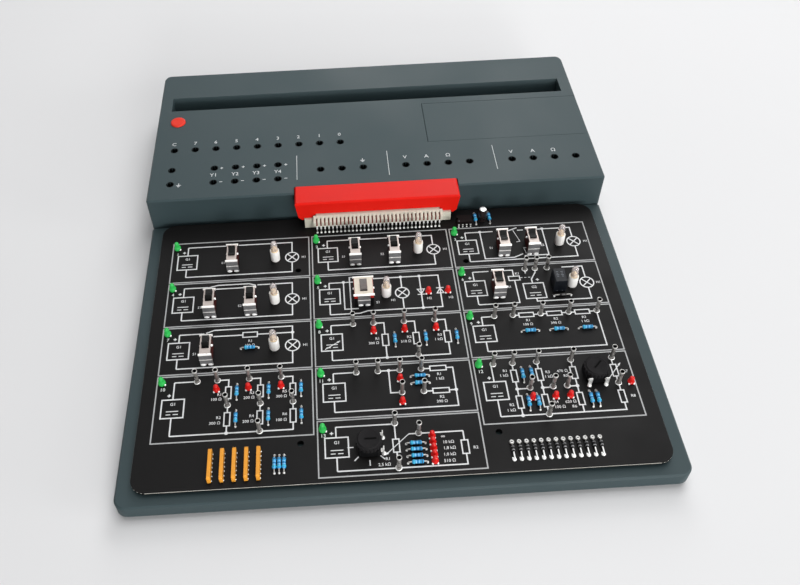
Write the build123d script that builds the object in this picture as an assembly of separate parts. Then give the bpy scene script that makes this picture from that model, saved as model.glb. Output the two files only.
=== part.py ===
"""Direct current circuit trainer: a desktop case with a raised rear hood, and a plug-in
training board that lies on the lower front deck and mates with a connector in the hood.

Millimetres. +X to the user's right, +Y to the rear, +Z up. The origin is the middle of the
footprint, on the surface that the feet stand on.
"""

from build123d import *
from dataclasses import dataclass
import math
import os

os.makedirs("parts", exist_ok=True)

# Case
CASE_WIDTH = 296.0
CASE_DEPTH = 336.0
HOOD_DEPTH = 136.0
FOOT_HEIGHT = 2.0
FOOT_RADIUS = 6.0
FOOT_SIDES = 8
FOOT_INSET = 16.0
BASE_THICKNESS = 2.4
BASE_INSET = 1.5
LIP_HEIGHT = 3.0
LIP_THICKNESS = 1.5
LIP_GAP = 0.2
DECK_HEIGHT = 8.6
HOOD_RISE = 23.5
WALL = 2.5
RIB = 2.0
BOSS_RADIUS = 4.0
FRONT_CORNER = 6.5
REAR_CORNER = 5.0
EDGE_BEVEL = 1.0
SEAM_ROUND = 1.6
OVERCUT = 1.0

# Main circuit board under the hood
MAIN_BOARD_CLEARANCE = 3.5
MAIN_BOARD_DEPTH = 85.0
MAIN_BOARD_THICKNESS = 1.6
STANDOFF_HEIGHT = 5.6
STANDOFF_RADIUS = 3.0

# Sockets in the hood's panel
SOCKET_SIDE_MARGIN = 14.24
SOCKET_COLUMNS = 20
SOCKET_HOLE = 4.8
SOCKET_BORE = 4.1
SOCKET_BODY = 8.0
SOCKET_BORE_DEPTH = 19.0
PANEL_GAP = 0.1
FLAT_SIDES = 6
DIGITAL_ROW = 49.1
UPPER_ROW = 29.0
MIDDLE_ROW = 22.2
LOWER_ROW = 15.1

# Power button
BUTTON_RADIUS = 5.1
BUTTON_SIDES = 16
BUTTON_BEVEL = 0.4
BUTTON_GAP = 0.25
BUTTON_PROUD = 1.0
BUTTON_TRAVEL = 1.5
BUTTON_Y = 79.5
BUTTON_FLANGE = 1.1
BUTTON_FLANGE_THICKNESS = 1.5
BUTTON_STEM = 3.0
BUTTON_STEM_DEPTH = 4.0
BUTTON_WELL_DEPTH = 7.0
BUTTON_SWITCH = 13.0

# Slot that a tablet stands in
SLOT_SIDE_MARGIN = 8.5
SLOT_FRONT = 92.55
SLOT_MOUTH = 15.0
SLOT_FLOOR_WIDTH = 11.45
SLOT_DEPTH = 20.0
POCKET_WALL = 2.0

# Extension bay and its sliding cover
BAY_LEFT = 38.0
BAY_FRONT = 44.25
BAY_LENGTH = 42.3
BAY_FLOOR = 15.6
BAY_WALL = 2.0
BAY_END_GAP = 0.2
LEDGE_WIDTH = 2.0
LEDGE_THICKNESS = 2.1
COVER_GAP = 0.2
COVER_LIFT = 0.3
COVER_SIDE_FOOT = 16.5
RAIL_THICKNESS = 1.0
RAIL_LIP = 1.5
RAIL_END_GAP = 1.0

# Rear wall sockets
INLET_SIDE_MARGIN = 28.0
INLET_WIDTH = 9.0
INLET_HEIGHT = 11.0
INLET_DEPTH = 14.0
INLET_BORE = 3.15
INLET_BORE_DEPTH = 9.0
INLET_PIN = 1.0
REAR_SOCKET_SET_BACK = 1.0
DATA_SIDE_MARGIN = 56.0
DATA_WIDTH = 12.0
DATA_DEPTH = 16.0
DATA_WALL = 1.2
DATA_TONGUE = (5.4, 3.0)
REAR_SOCKET_FLOOR = 12.0
REAR_SOCKET_GAP = 0.1

# Training board
CELL_WIDTH = 87.0
CELL_DEPTH = 33.0
CELL_GAP_X = 1.3
CELL_GAP_Y = 1.4
CELL_COLUMNS = 3
CELL_ROWS = 5
LAYOUT_UNITS = 87
BOARD_SIDE_MARGIN = 7.7
BOARD_REAR_MARGIN = 17.0
BOARD_FRONT_MARGIN = 3.0
BOARD_THICKNESS = 1.6
BOARD_CORNER = 8.5
BOARD_STEP_GAP = 3.5
BOARD_HOLE_RADIUS = 1.75
BOARD_HOLE_SPACING_X = 104.4
BOARD_HOLE_SPACING_Y = 122.0
BOARD_HOLE_CENTRE_Y = -89.2
PAD_SIZE = 12.0
PAD_HEIGHT = 2.3
PAD_CLEARANCE = 0.1
PAD_INSET = 20.0

# Board connector, its mate and the red block over them
PIN_PITCH = 2.54
PIN_COUNT = 32
PIN_SIDE = 0.64
PIN_BEND = 8.0
PIN_REACH = 5.2
CONNECTOR_FRONT = 8.6
CONNECTOR_LENGTH = 10.0
EAR_WIDTH = 94.4
EAR_HEIGHT = 7.3
BODY_WIDTH = 80.8
BODY_HEIGHT = 10.5
BODY_TAPER = 0.8
RIB_WIDTH = 1.3
RIB_REACH = 4.6
RIB_BOTTOM = 5.5
RIB_SLOPE = 2.0
SHROUD_LENGTH = 6.4
SHROUD_WALL = 0.8
SHROUD_INNER = (82.0, 5.8)
MATING_GAP = 0.3
MATE_FLANGE = 4.6
MATE_FLANGE_TOP = 11.5
BLOCK_WIDTH = 105.6
BLOCK_REACH = 10.5
BLOCK_SEAT = 5.85
BLOCK_PROUD = 0.5
BLOCK_FOOT = 6.0
BLOCK_TAPER = 1.8
BLOCK_CORNER = 2.0
BLOCK_FRONT_WALL = 2.0
BLOCK_ROOF = 3.5
BLOCK_GAP = 0.3

# Parts on the training board
POST_HEIGHT = 10.8
POST_HEAD_HEIGHT = 1.0
POST_HEAD_RADIUS = 1.45
POST_RADIUS = 0.95
LED_RADIUS = 1.5
LED_TIP_RADIUS = 0.7
RED_LED_HEIGHT = 5.4
GREEN_LED_HEIGHT = 6.6
GREEN_RIM_RADIUS = 2.1
GREEN_RIM_HEIGHT = 1.0
LED_DOME = 1.2
LAMP_HOLDER_RADIUS = 2.95
LAMP_HOLDER_HEIGHT = 8.0
LAMP_SEAT = 4.5
BULB_RADIUS = 2.1
BULB_GAP = 0.15
BULB_HEIGHT = 16.8
BULB_DOME = 1.7
LAMP_SIDES = 8
LEAD_SPAN = 10.16
LEAD_SIDE = 0.6
RESISTOR_LENGTH = 6.3
RESISTOR_RADIUS = 1.2
DIODE_LENGTH = 4.1
DIODE_RADIUS = 1.0
DIODE_PITCH = 3.83
DIODE_COUNT = 13
AXIAL_LIFT = 0.3
NETWORK_LENGTH = 17.8
NETWORK_THICKNESS = 2.4
NETWORK_HEIGHT = 4.9
NETWORK_CHAMFER = 0.6
NETWORK_PITCH = 6.25
NETWORK_COUNT = 5
RELAY_SIZE = (7.4, 10.2, 10.0)
RELAY_CHAMFER = 0.5
CHIP_BODY = (9.6, 6.4, 3.3)
CHIP_LIFT = 0.5
CHIP_ROW_SPACING = 7.62
CHIP_LEADS_PER_ROW = 4
CHIP_LEAD_WIDTH = 1.2
CHIP_NOTCH = 1.6
CAN_RADIUS = 2.5
CAN_HEIGHT = 10.0
CAN_BEVEL = 0.5
CAN_SIDES = 12

# Rocker switches
SHEET = 0.8
SWITCH_TOP = 10.4
BEND_CHAMFER = 0.8
SKIRT_NOTCH = (1.8, 1.4)
PIVOT_HEIGHT = 7.3
TRUNNION_RADIUS = 0.8
TRUNNION_GAP = 0.1
TRUNNION_REACH = 4.6
POCKET_FLOOR = 5.0
ROCKER_TILT = 13.0
ROCKER_SIDE_GAP = 0.15
ROCKER_END_GAP = 0.1
ROCKER_CREST = 3.5
ROCKER_KEEL = 1.9
ROCKER_KEEL_SHARE = 0.4
ROCKER_WAIST = 0.2

# Potentiometers and their thumb wheels
POT_SIZE = 12.0
POT_HEIGHT = 4.6
POT_SHAFT_RADIUS = 2.0
POT_SHAFT_GAP = 0.2
POT_SHAFT_DEPTH = 2.0
POT_CHAMFER = 1.5
POT_LEG = (2.2, 1.2, 7.4)
POT_LEG_SPACING = 10.5
KNOB_RADIUS = 6.9
KNOB_LIFT = 0.2
KNOB_HEIGHT = 3.4
KNOB_BEVEL = 1.3
KNOB_BEVEL_HEIGHT = 0.8
KNOB_FLUTES = 20
KNOB_FLUTE_DEPTH = 0.55
KNOB_SLOT = (6.3, 1.0, 0.5)
KNOB_SLOT_OFFSET = 0.85

# Heights and places worked out from the sizes above
BASE_TOP = FOOT_HEIGHT + BASE_THICKNESS
DECK_TOP = BASE_TOP + DECK_HEIGHT
HOOD_TOP = DECK_TOP + HOOD_RISE
PANEL_UNDERSIDE = HOOD_TOP - WALL
STEP_Y = CASE_DEPTH / 2 - HOOD_DEPTH
SOCKET_PITCH = (CASE_WIDTH - 2 * SOCKET_SIDE_MARGIN) / (SOCKET_COLUMNS - 1)
SLOT_WIDTH = CASE_WIDTH - 2 * SLOT_SIDE_MARGIN
INLET_X = INLET_SIDE_MARGIN - CASE_WIDTH / 2
DATA_X = DATA_SIDE_MARGIN - CASE_WIDTH / 2
MAIN_BOARD_BOTTOM = BASE_TOP + STANDOFF_HEIGHT
MAIN_BOARD_TOP = MAIN_BOARD_BOTTOM + MAIN_BOARD_THICKNESS
MAIN_BOARD_FRONT = STEP_Y + MAIN_BOARD_CLEARANCE
LAYOUT_UNIT = CELL_WIDTH / LAYOUT_UNITS
GRID_WIDTH = CELL_COLUMNS * CELL_WIDTH + (CELL_COLUMNS - 1) * CELL_GAP_X
GRID_DEPTH = CELL_ROWS * CELL_DEPTH + (CELL_ROWS - 1) * CELL_GAP_Y
BOARD_WIDTH = GRID_WIDTH + 2 * BOARD_SIDE_MARGIN
BOARD_DEPTH = BOARD_REAR_MARGIN + GRID_DEPTH + BOARD_FRONT_MARGIN
BOARD_REAR = STEP_Y - BOARD_STEP_GAP
BOARD_BOTTOM = DECK_TOP + PAD_HEIGHT + PAD_CLEARANCE
BOARD_TOP = BOARD_BOTTOM + BOARD_THICKNESS
GRID_X = -GRID_WIDTH / 2
GRID_Y = BOARD_REAR - BOARD_REAR_MARGIN
BLOCK_FRONT = STEP_Y - BLOCK_REACH
BLOCK_REAR = STEP_Y + BLOCK_SEAT
BLOCK_TOP = HOOD_TOP + BLOCK_PROUD
BLOCK_BOTTOM = BOARD_TOP + BLOCK_FOOT
PASSAGE_HALF = EAR_WIDTH / 2 + MATING_GAP

# Cell number: its column and row, counted from the rear left corner of the printed grid
CELL_SPOTS = {
    1: (0, 0), 2: (1, 0), 3: (2, 0),
    4: (0, 1), 5: (1, 1), 6: (2, 1),
    7: (0, 2), 8: (1, 2), 9: (2, 2),
    10: (0, 3), 11: (1, 3), 12: (2, 3),
    13: (1, 4),
}

# Places in each cell, from its rear left corner. The board's layout is in units of an 87th of
# a cell's width, which is one millimetre at the real size.
POSTS = {
    6: [(42.1, -3.4), (48.4, -3.4), (55.7, -3.4)],
    8: [(22.9, -4.3), (34.9, -4.3), (52.8, -4.3), (70.8, -4.3), (58.9, -29.0)],
    9: [(17.5, -4.4), (28.5, -4.4), (44.8, -4.4), (61.3, -4.4), (77.9, -4.4)],
    10: [(22.6, -4.2), (33.9, -4.2), (51.6, -4.2), (69.4, -4.2),
         (40.1, -20.8), (58.0, -20.8), (75.8, -20.8), (58.0, -38.1)],
    11: [(22.9, -4.2), (35.0, -4.2), (47.2, -4.2), (59.2, -4.2), (47.2, -19.0), (59.2, -19.0)],
    12: [(11.2, -4.0), (22.1, -4.0), (35.6, -4.0), (54.9, -4.0), (77.9, -4.0),
         (28.8, -20.8), (41.5, -20.8), (49.3, -20.8), (77.5, -20.8), (35.8, -38.2)],
    13: [(41.4, -3.8), (53.5, -10.6), (41.4, -30.1)],
}
LAMPS = {
    1: (65.5, -17.5), 2: (66.9, -17.0), 3: (67.9, -17.0), 4: (65.5, -17.6),
    5: (44.2, -17.2), 6: (68.2, -17.6), 7: (65.5, -17.7),
}
GREEN_LED_SPOT = (3.1, -4.2)
LAST_GREEN_LED_SPOT = (3.1, -5.4)
RED_LEDS = {
    5: [(69.6, -17.4), (81.3, -17.4)],
    8: [(34.6, -10.6), (52.6, -10.6), (70.8, -10.6)],
    10: [(33.7, -10.5), (51.3, -10.5), (69.3, -10.5)],
    11: [(46.9, -10.4), (46.9, -25.3)],
    12: [(29.0, -27.4), (41.5, -27.5), (49.5, -27.5), (84.3, -20.9)],
    13: [(60.3, -12.9), (60.3, -16.6), (60.3, -20.3), (60.3, -24.0), (60.3, -27.7)],
}
RESISTORS_ALONG_X = {
    7: [(51.2, -17.6)],
    9: [(36.4, -16.9), (53.0, -16.9), (69.5, -16.9)],
    11: [(58.0, -9.3), (57.8, -14.0)],
    13: [(51.4, -16.9), (51.4, -20.6), (51.4, -24.3), (51.4, -28.0)],
}
RESISTORS_ALONG_Y = {
    8: [(46.4, -17.2), (64.2, -17.2), (82.1, -17.2)],
    10: [(45.0, -12.6), (62.5, -12.6), (80.3, -12.6),
         (45.0, -29.6), (62.5, -29.6), (80.3, -29.6)],
    12: [(26.3, -12.2), (31.3, -12.0), (26.3, -30.2), (31.6, -30.2), (60.2, -30.2), (63.9, -30.2)],
}
SPARE_RESISTORS = [(66.0, -161.7), (68.5, -161.7), (71.0, -161.7)]
CONTROL_RESISTORS = [(195.0, 8.0), (204.0, 8.2)]
NETWORK_START = (33.0, -161.4)
DIODE_START = (189.3, -162.0)
RELAY_SPOT = (59.4, -18.0)
RELAY_DIODE_SPOT = (60.7, -26.1)
CHIP_SPOT = (187.4, 5.4)
CAN_SPOT = (199.4, 7.1)
POT_SPOTS = {12: (65.9, -14.0), 13: (26.9, -16.8)}
KNOB_TURN = {12: 45.0, 13: 0.0}

# Socket columns in each row, counted from the left
SOCKET_ROWS = {
    DIGITAL_ROW: [0, 1, 2, 3, 4, 5, 6, 7, 8],
    UPPER_ROW: [0, 2, 3, 4, 5],
    LOWER_ROW: [0, 2, 3, 4, 5],
    MIDDLE_ROW: [7, 8, 9, 11, 12, 13, 14, 16, 17, 18, 19],
}

LOW = (Align.CENTER, Align.CENTER, Align.MIN)


@dataclass(frozen=True)
class SwitchForm:
    """Sizes of one kind of rocker switch, measured from its pivot."""

    plate_width: float
    rail_width: float
    skirt_width: float
    body_width: float
    front: float
    rear: float
    opening_width: float
    opening_length: float


SMALL_SWITCH = SwitchForm(7.6, 6.3, 7.6, 6.0, 8.7, 5.8, 4.3, 8.2)
LARGE_SWITCH = SwitchForm(12.2, 12.2, 7.2, 11.6, 7.9, 7.0, 4.3, 9.6)


@dataclass
class SwitchSpot:
    """Where a switch stands in its cell, and which way its rocker rests."""

    node: str
    cell: int
    x: float
    y: float
    front_down: bool
    form: SwitchForm = SMALL_SWITCH


SWITCHES = [
    SwitchSpot("rocker_1", 1, 39.3, -18.0, True),
    SwitchSpot("rocker_2_left", 2, 27.2, -18.2, False),
    SwitchSpot("rocker_2_right", 2, 51.5, -18.2, False),
    SwitchSpot("rocker_3_left", 3, 31.6, -17.6, True),
    SwitchSpot("rocker_3_right", 3, 49.6, -17.6, True),
    SwitchSpot("rocker_4_left", 4, 27.2, -19.2, False),
    SwitchSpot("rocker_4_right", 4, 51.3, -19.2, False),
    SwitchSpot("rocker_5", 5, 30.5, -17.6, False, LARGE_SWITCH),
    SwitchSpot("rocker_6", 6, 23.1, -16.8, True),
    SwitchSpot("rocker_7", 7, 27.4, -19.3, False),
]


def on_grid(x, y, z=0.0):
    """A place on the training board, in layout units from the rear left corner of its grid."""
    return Pos(GRID_X + LAYOUT_UNIT * x, GRID_Y + LAYOUT_UNIT * y, BOARD_TOP + z)


def in_cell(number, spot, z=0.0):
    """A place on the training board, in layout units from the rear left corner of one cell."""
    column, row = CELL_SPOTS[number]
    corner = Pos(column * (CELL_WIDTH + CELL_GAP_X), -row * (CELL_DEPTH + CELL_GAP_Y), 0)
    return corner * on_grid(*spot, z)


def gather(shapes):
    """One node of several separate solids."""
    return Compound([solid for shape in shapes for solid in shape.solids()])


def block(x0, x1, y0, y1, z0, z1):
    """A box between two corners."""
    centre = Pos((x0 + x1) / 2, (y0 + y1) / 2, z0)
    return centre * Box(x1 - x0, y1 - y0, z1 - z0, align=LOW)


def prism(radius, sides, bottom, top):
    """An upright bar with flat sides, about the Z axis."""
    return Pos(0, 0, bottom) * extrude(RegularPolygon(radius, sides), amount=top - bottom)


def taper(bottom_radius, top_radius, sides, bottom, top):
    """A flat-sided cone stump, about the Z axis."""
    lower = Pos(0, 0, bottom) * RegularPolygon(bottom_radius, sides)
    upper = Pos(0, 0, top) * RegularPolygon(top_radius, sides)
    return loft([lower, upper], ruled=True)


def side_profile(points, half_width):
    """A profile of (y, z) points, extruded both ways along X."""
    return extrude(Plane.YZ * Polygon(*points, align=None), amount=half_width, both=True)


def front_profile(points, y0, y1):
    """A profile of (x, z) points, extruded from y0 to y1."""
    plane = Plane(origin=(0, y1, 0), x_dir=(1, 0, 0), z_dir=(0, -1, 0))
    return extrude(plane * Polygon(*points, align=None), amount=y1 - y0)


def mirrored(points):
    """A closed outline from its right half, listed from bottom to top."""
    return points + [(-x, z) for x, z in reversed(points)]


def case_outline(inset):
    """The case's outline from above, drawn in by an inset."""
    face = Rectangle(CASE_WIDTH - 2 * inset, CASE_DEPTH - 2 * inset)
    face = fillet(face.vertices().sort_by(Axis.Y)[:2], FRONT_CORNER - inset)
    return fillet(face.vertices().sort_by(Axis.Y)[-2:], REAR_CORNER - inset)


def slice_of_case(inset, y0, y1, z0, z1, seam=None):
    """The case's outline between two stations along Y, as an upright solid.

    A seam is the station whose two corners are rounded, where the shells meet.
    """
    face = case_outline(inset) & Pos(0, (y0 + y1) / 2) * Rectangle(2 * CASE_WIDTH, y1 - y0)
    if seam is not None:
        corners = [v for v in face.vertices() if abs(v.Y - seam) < SEAM_ROUND]
        face = fillet(corners, SEAM_ROUND)
    return Pos(0, 0, z0) * extrude(face, amount=z1 - z0)


def socket_spots():
    """The centre of each lead socket in the hood's panel."""
    middle = (SOCKET_COLUMNS - 1) / 2
    return [
        ((column - middle) * SOCKET_PITCH, STEP_Y + row)
        for row, columns in SOCKET_ROWS.items()
        for column in columns
    ]


def button_spot():
    """The power button stands over the first socket column."""
    return (-(SOCKET_COLUMNS - 1) / 2 * SOCKET_PITCH, STEP_Y + BUTTON_Y)


def bottom_plate():
    """Flat base with a locating lip inside the two shells and standoffs for the main board."""
    plate = slice_of_case(BASE_INSET, -CASE_DEPTH, CASE_DEPTH, FOOT_HEIGHT, BASE_TOP)
    outer = WALL + LIP_GAP
    lip_top = BASE_TOP + LIP_HEIGHT
    side = CASE_WIDTH / 2 - outer
    end = CASE_DEPTH / 2 - outer
    clear = 2 * (FRONT_CORNER + WALL)
    for x0, x1 in ((-side, -side + LIP_THICKNESS), (side - LIP_THICKNESS, side)):
        plate += block(x0, x1, clear - end, STEP_Y - clear, BASE_TOP, lip_top)
        plate += block(x0, x1, STEP_Y + clear, end - clear, BASE_TOP, lip_top)
    for y0, y1 in ((-end, -end + LIP_THICKNESS), (end - LIP_THICKNESS, end)):
        plate += block(clear - side, side - clear, y0, y1, BASE_TOP, lip_top)
    reach = CASE_WIDTH / 2 - WALL - MAIN_BOARD_CLEARANCE - 2 * STANDOFF_RADIUS
    rear = MAIN_BOARD_FRONT + MAIN_BOARD_DEPTH - 2 * STANDOFF_RADIUS
    for x in (-reach, reach):
        for y in (MAIN_BOARD_FRONT + 2 * STANDOFF_RADIUS, rear):
            plate += Pos(x, y) * prism(STANDOFF_RADIUS, FLAT_SIDES, BASE_TOP, MAIN_BOARD_BOTTOM)
    return plate


def rubber_feet():
    """Four round feet under the base."""
    reach_x = CASE_WIDTH / 2 - FOOT_INSET
    reach_y = CASE_DEPTH / 2 - FOOT_INSET
    foot = prism(FOOT_RADIUS, FOOT_SIDES, 0, FOOT_HEIGHT)
    return gather([Pos(x, y) * foot for x in (-reach_x, reach_x) for y in (-reach_y, reach_y)])


def front_deck():
    """Low shell under the training board, open below, with stiffening ribs and bosses."""
    front = -CASE_DEPTH / 2
    shell = slice_of_case(0, front, STEP_Y, BASE_TOP, DECK_TOP, seam=STEP_Y)
    rim = shell.faces().sort_by(Axis.Z)[-1].edges()
    shell = chamfer([e for e in rim if e.center().Y < STEP_Y - SEAM_ROUND], EDGE_BEVEL)
    shell -= slice_of_case(WALL, front, STEP_Y + OVERCUT, BASE_TOP, DECK_TOP - WALL)
    rib_top = DECK_TOP - WALL
    for x in (-CASE_WIDTH / 6, CASE_WIDTH / 6):
        shell += block(x - RIB / 2, x + RIB / 2, front + 4 * WALL, STEP_Y - WALL, BASE_TOP, rib_top)
    reach = CASE_WIDTH / 2 - WALL - LIP_THICKNESS - BOSS_RADIUS - WALL
    for x in (-reach, reach):
        for y in (front + 6 * WALL, STEP_Y - 6 * WALL):
            shell += Pos(x, y) * prism(BOSS_RADIUS, FLAT_SIDES, BASE_TOP, rib_top)
    return shell


def slot_profile(grow=0.0):
    """The tablet slot from the side: upright in front, with a rear wall that leans back."""
    front = STEP_Y + SLOT_FRONT - grow
    floor = HOOD_TOP - SLOT_DEPTH - grow
    return [
        (front, floor),
        (front + SLOT_FLOOR_WIDTH + 2 * grow, floor),
        (front + SLOT_MOUTH + 2 * grow, HOOD_TOP),
        (front, HOOD_TOP),
    ]


def rear_cover():
    """Hood shell with its step face, lead socket holes, tablet slot and extension cut."""
    rear = CASE_DEPTH / 2
    shell = slice_of_case(0, STEP_Y, rear, BASE_TOP, HOOD_TOP, seam=STEP_Y)
    shell = chamfer(shell.faces().sort_by(Axis.Z)[-1].edges(), EDGE_BEVEL)
    shell -= slice_of_case(WALL, STEP_Y + WALL, rear, BASE_TOP, PANEL_UNDERSIDE)
    reach = CASE_WIDTH / 2 - WALL - LIP_THICKNESS - BOSS_RADIUS - WALL
    for x in (-reach, reach):
        shell += Pos(x, rear - 6 * WALL) * prism(BOSS_RADIUS, FLAT_SIDES, BASE_TOP, PANEL_UNDERSIDE)

    pocket = side_profile(slot_profile(POCKET_WALL), SLOT_WIDTH / 2 + POCKET_WALL)
    pocket &= block(-CASE_WIDTH, CASE_WIDTH, STEP_Y, rear, BASE_TOP, HOOD_TOP - WALL / 2)
    shell += pocket
    shell -= side_profile(slot_profile(), SLOT_WIDTH / 2)

    holes = [Pos(x, y) * RegularPolygon(SOCKET_HOLE / 2, FLAT_SIDES) for x, y in socket_spots()]
    holes.append(Pos(*button_spot()) * RegularPolygon(BUTTON_RADIUS + BUTTON_GAP, BUTTON_SIDES))
    for hole in holes:
        shell -= Pos(0, 0, PANEL_UNDERSIDE - OVERCUT) * extrude(hole, amount=WALL + 2 * OVERCUT)

    side = CASE_WIDTH / 2
    bay_y0 = STEP_Y + BAY_FRONT
    bay_y1 = bay_y0 + BAY_LENGTH
    sky = HOOD_TOP + OVERCUT
    shell -= block(BAY_LEFT, side + OVERCUT, bay_y0, bay_y1, PANEL_UNDERSIDE - OVERCUT, sky)
    shell -= block(side - WALL - OVERCUT, side + OVERCUT, bay_y0, bay_y1,
                   COVER_SIDE_FOOT - COVER_LIFT, sky)

    notch_half = BLOCK_WIDTH / 2 + BLOCK_GAP
    ahead = STEP_Y - OVERCUT
    shell -= block(-notch_half, notch_half, ahead, BLOCK_REAR + BLOCK_GAP, BLOCK_BOTTOM, sky)
    shell -= block(-PASSAGE_HALF, PASSAGE_HALF, ahead, STEP_Y + WALL + OVERCUT,
                   BOARD_TOP - MATING_GAP, BLOCK_BOTTOM + OVERCUT)

    for x, width in ((INLET_X, INLET_WIDTH), (DATA_X, DATA_WIDTH)):
        half = width / 2 + REAR_SOCKET_GAP
        low = REAR_SOCKET_FLOOR - REAR_SOCKET_GAP
        high = REAR_SOCKET_FLOOR + INLET_HEIGHT + REAR_SOCKET_GAP
        shell -= block(x - half, x + half, rear - WALL - OVERCUT, rear + OVERCUT, low, high)
    return shell


def main_circuit_board():
    """Board under the hood that carries the sockets, the connector and the switch."""
    half = CASE_WIDTH / 2 - WALL - MAIN_BOARD_CLEARANCE
    return block(-half, half, MAIN_BOARD_FRONT, MAIN_BOARD_FRONT + MAIN_BOARD_DEPTH,
                 MAIN_BOARD_BOTTOM, MAIN_BOARD_TOP)


def panel_sockets():
    """Square-bodied lead sockets that stand on the main board under the panel's holes."""
    top = PANEL_UNDERSIDE - PANEL_GAP
    body = block(-SOCKET_BODY / 2, SOCKET_BODY / 2, -SOCKET_BODY / 2, SOCKET_BODY / 2,
                 MAIN_BOARD_TOP, top)
    bore = SOCKET_BORE / 2
    body -= block(-bore, bore, -bore, bore, top - SOCKET_BORE_DEPTH, top + OVERCUT)
    return gather([Pos(x, y) * body for x, y in socket_spots()])


def power_button():
    """Round push button with a flange under the panel and a square stem."""
    top = HOOD_TOP + BUTTON_PROUD
    flange_top = PANEL_UNDERSIDE - PANEL_GAP
    flange_bottom = flange_top - BUTTON_FLANGE_THICKNESS
    cap = prism(BUTTON_RADIUS, BUTTON_SIDES, flange_top, top - BUTTON_BEVEL)
    cap += taper(BUTTON_RADIUS, BUTTON_RADIUS - BUTTON_BEVEL, BUTTON_SIDES, top - BUTTON_BEVEL, top)
    cap += prism(BUTTON_RADIUS + BUTTON_FLANGE, BUTTON_SIDES, flange_bottom, flange_top)
    stem_bottom = button_switch_top() - BUTTON_STEM_DEPTH
    half = BUTTON_STEM / 2
    cap += block(-half, half, -half, half, stem_bottom, flange_bottom)
    return Pos(*button_spot()) * cap


def button_switch_top():
    """The switch housing stops just short of the pressed button's flange."""
    return PANEL_UNDERSIDE - PANEL_GAP - BUTTON_FLANGE_THICKNESS - BUTTON_TRAVEL - PANEL_GAP


def button_switch():
    """Switch housing under the power button, with the well its stem runs in."""
    half = BUTTON_SWITCH / 2
    well = BUTTON_STEM / 2 + COVER_GAP
    top = button_switch_top()
    body = block(-half, half, -half, half, MAIN_BOARD_TOP, top)
    body -= block(-well, well, -well, well, top - BUTTON_WELL_DEPTH, top + OVERCUT)
    return Pos(*button_spot()) * body


def extension_bay():
    """Open tray under the sliding cover, with a ledge along each side that the cover runs on."""
    y0 = STEP_Y + BAY_FRONT
    y1 = y0 + BAY_LENGTH
    x1 = CASE_WIDTH / 2 - WALL - BAY_END_GAP
    floor = BAY_FLOOR
    tray = block(BAY_LEFT - BAY_WALL, x1, y0 - BAY_WALL, y1 + BAY_WALL, floor - BAY_WALL,
                 PANEL_UNDERSIDE)
    tray -= block(BAY_LEFT, x1 + OVERCUT, y0, y1, floor, PANEL_UNDERSIDE + OVERCUT)
    ledge_top = PANEL_UNDERSIDE - COVER_LIFT
    ledge_bottom = ledge_top - LEDGE_THICKNESS
    tray += block(BAY_LEFT - BAY_WALL, x1, y0 - BAY_WALL, y0 + LEDGE_WIDTH, ledge_bottom, ledge_top)
    tray += block(BAY_LEFT - BAY_WALL, x1, y1 - LEDGE_WIDTH, y1 + BAY_WALL, ledge_bottom, ledge_top)
    return tray


def extension_cover():
    """Corner-shaped cover whose hooked rails slide along the bay's ledges."""
    y0 = STEP_Y + BAY_FRONT + COVER_GAP
    y1 = STEP_Y + BAY_FRONT + BAY_LENGTH - COVER_GAP
    x0 = BAY_LEFT + COVER_GAP
    x1 = CASE_WIDTH / 2
    profile = [
        (x0, PANEL_UNDERSIDE), (x1 - WALL, PANEL_UNDERSIDE), (x1 - WALL, COVER_SIDE_FOOT),
        (x1, COVER_SIDE_FOOT), (x1, HOOD_TOP), (x0, HOOD_TOP),
    ]
    cover = front_profile(profile, y0, y1)
    outer_edge = cover.edges().filter_by(Axis.Y).group_by(Axis.X)[-1].sort_by(Axis.Z)[-1]
    cover = chamfer(outer_edge, EDGE_BEVEL)
    ledge_bottom = PANEL_UNDERSIDE - COVER_LIFT - LEDGE_THICKNESS
    lip_top = ledge_bottom - COVER_LIFT
    lip_bottom = lip_top - RAIL_LIP
    rail_start = x0 + RAIL_END_GAP
    rail_end = x1 - WALL - RAIL_END_GAP
    edge_y = STEP_Y + BAY_FRONT
    for base, way in ((edge_y, 1), (edge_y + BAY_LENGTH, -1)):
        inner = base + way * (LEDGE_WIDTH + COVER_LIFT + RAIL_THICKNESS)
        outer = base + way * (LEDGE_WIDTH + COVER_LIFT)
        tip = base + way * COVER_LIFT
        web = sorted((inner, outer))
        lip = sorted((inner, tip))
        cover += block(rail_start, rail_end, *web, lip_bottom, PANEL_UNDERSIDE)
        cover += block(rail_start, rail_end, *lip, lip_bottom, lip_top)
    return cover


def power_inlet():
    """Low-voltage jack in the rear wall, with its centre pin."""
    rear = CASE_DEPTH / 2
    low = REAR_SOCKET_FLOOR
    body = block(-INLET_WIDTH / 2, INLET_WIDTH / 2, rear - INLET_DEPTH, rear, low, low + INLET_HEIGHT)
    axis = Pos(0, rear, low + INLET_HEIGHT / 2) * Rot(90, 0, 0)
    body -= axis * prism(INLET_BORE, 12, -OVERCUT, INLET_BORE_DEPTH)
    body += axis * prism(INLET_PIN, FLAT_SIDES, REAR_SOCKET_SET_BACK, INLET_BORE_DEPTH + OVERCUT)
    return Pos(INLET_X, 0, 0) * body


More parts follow.
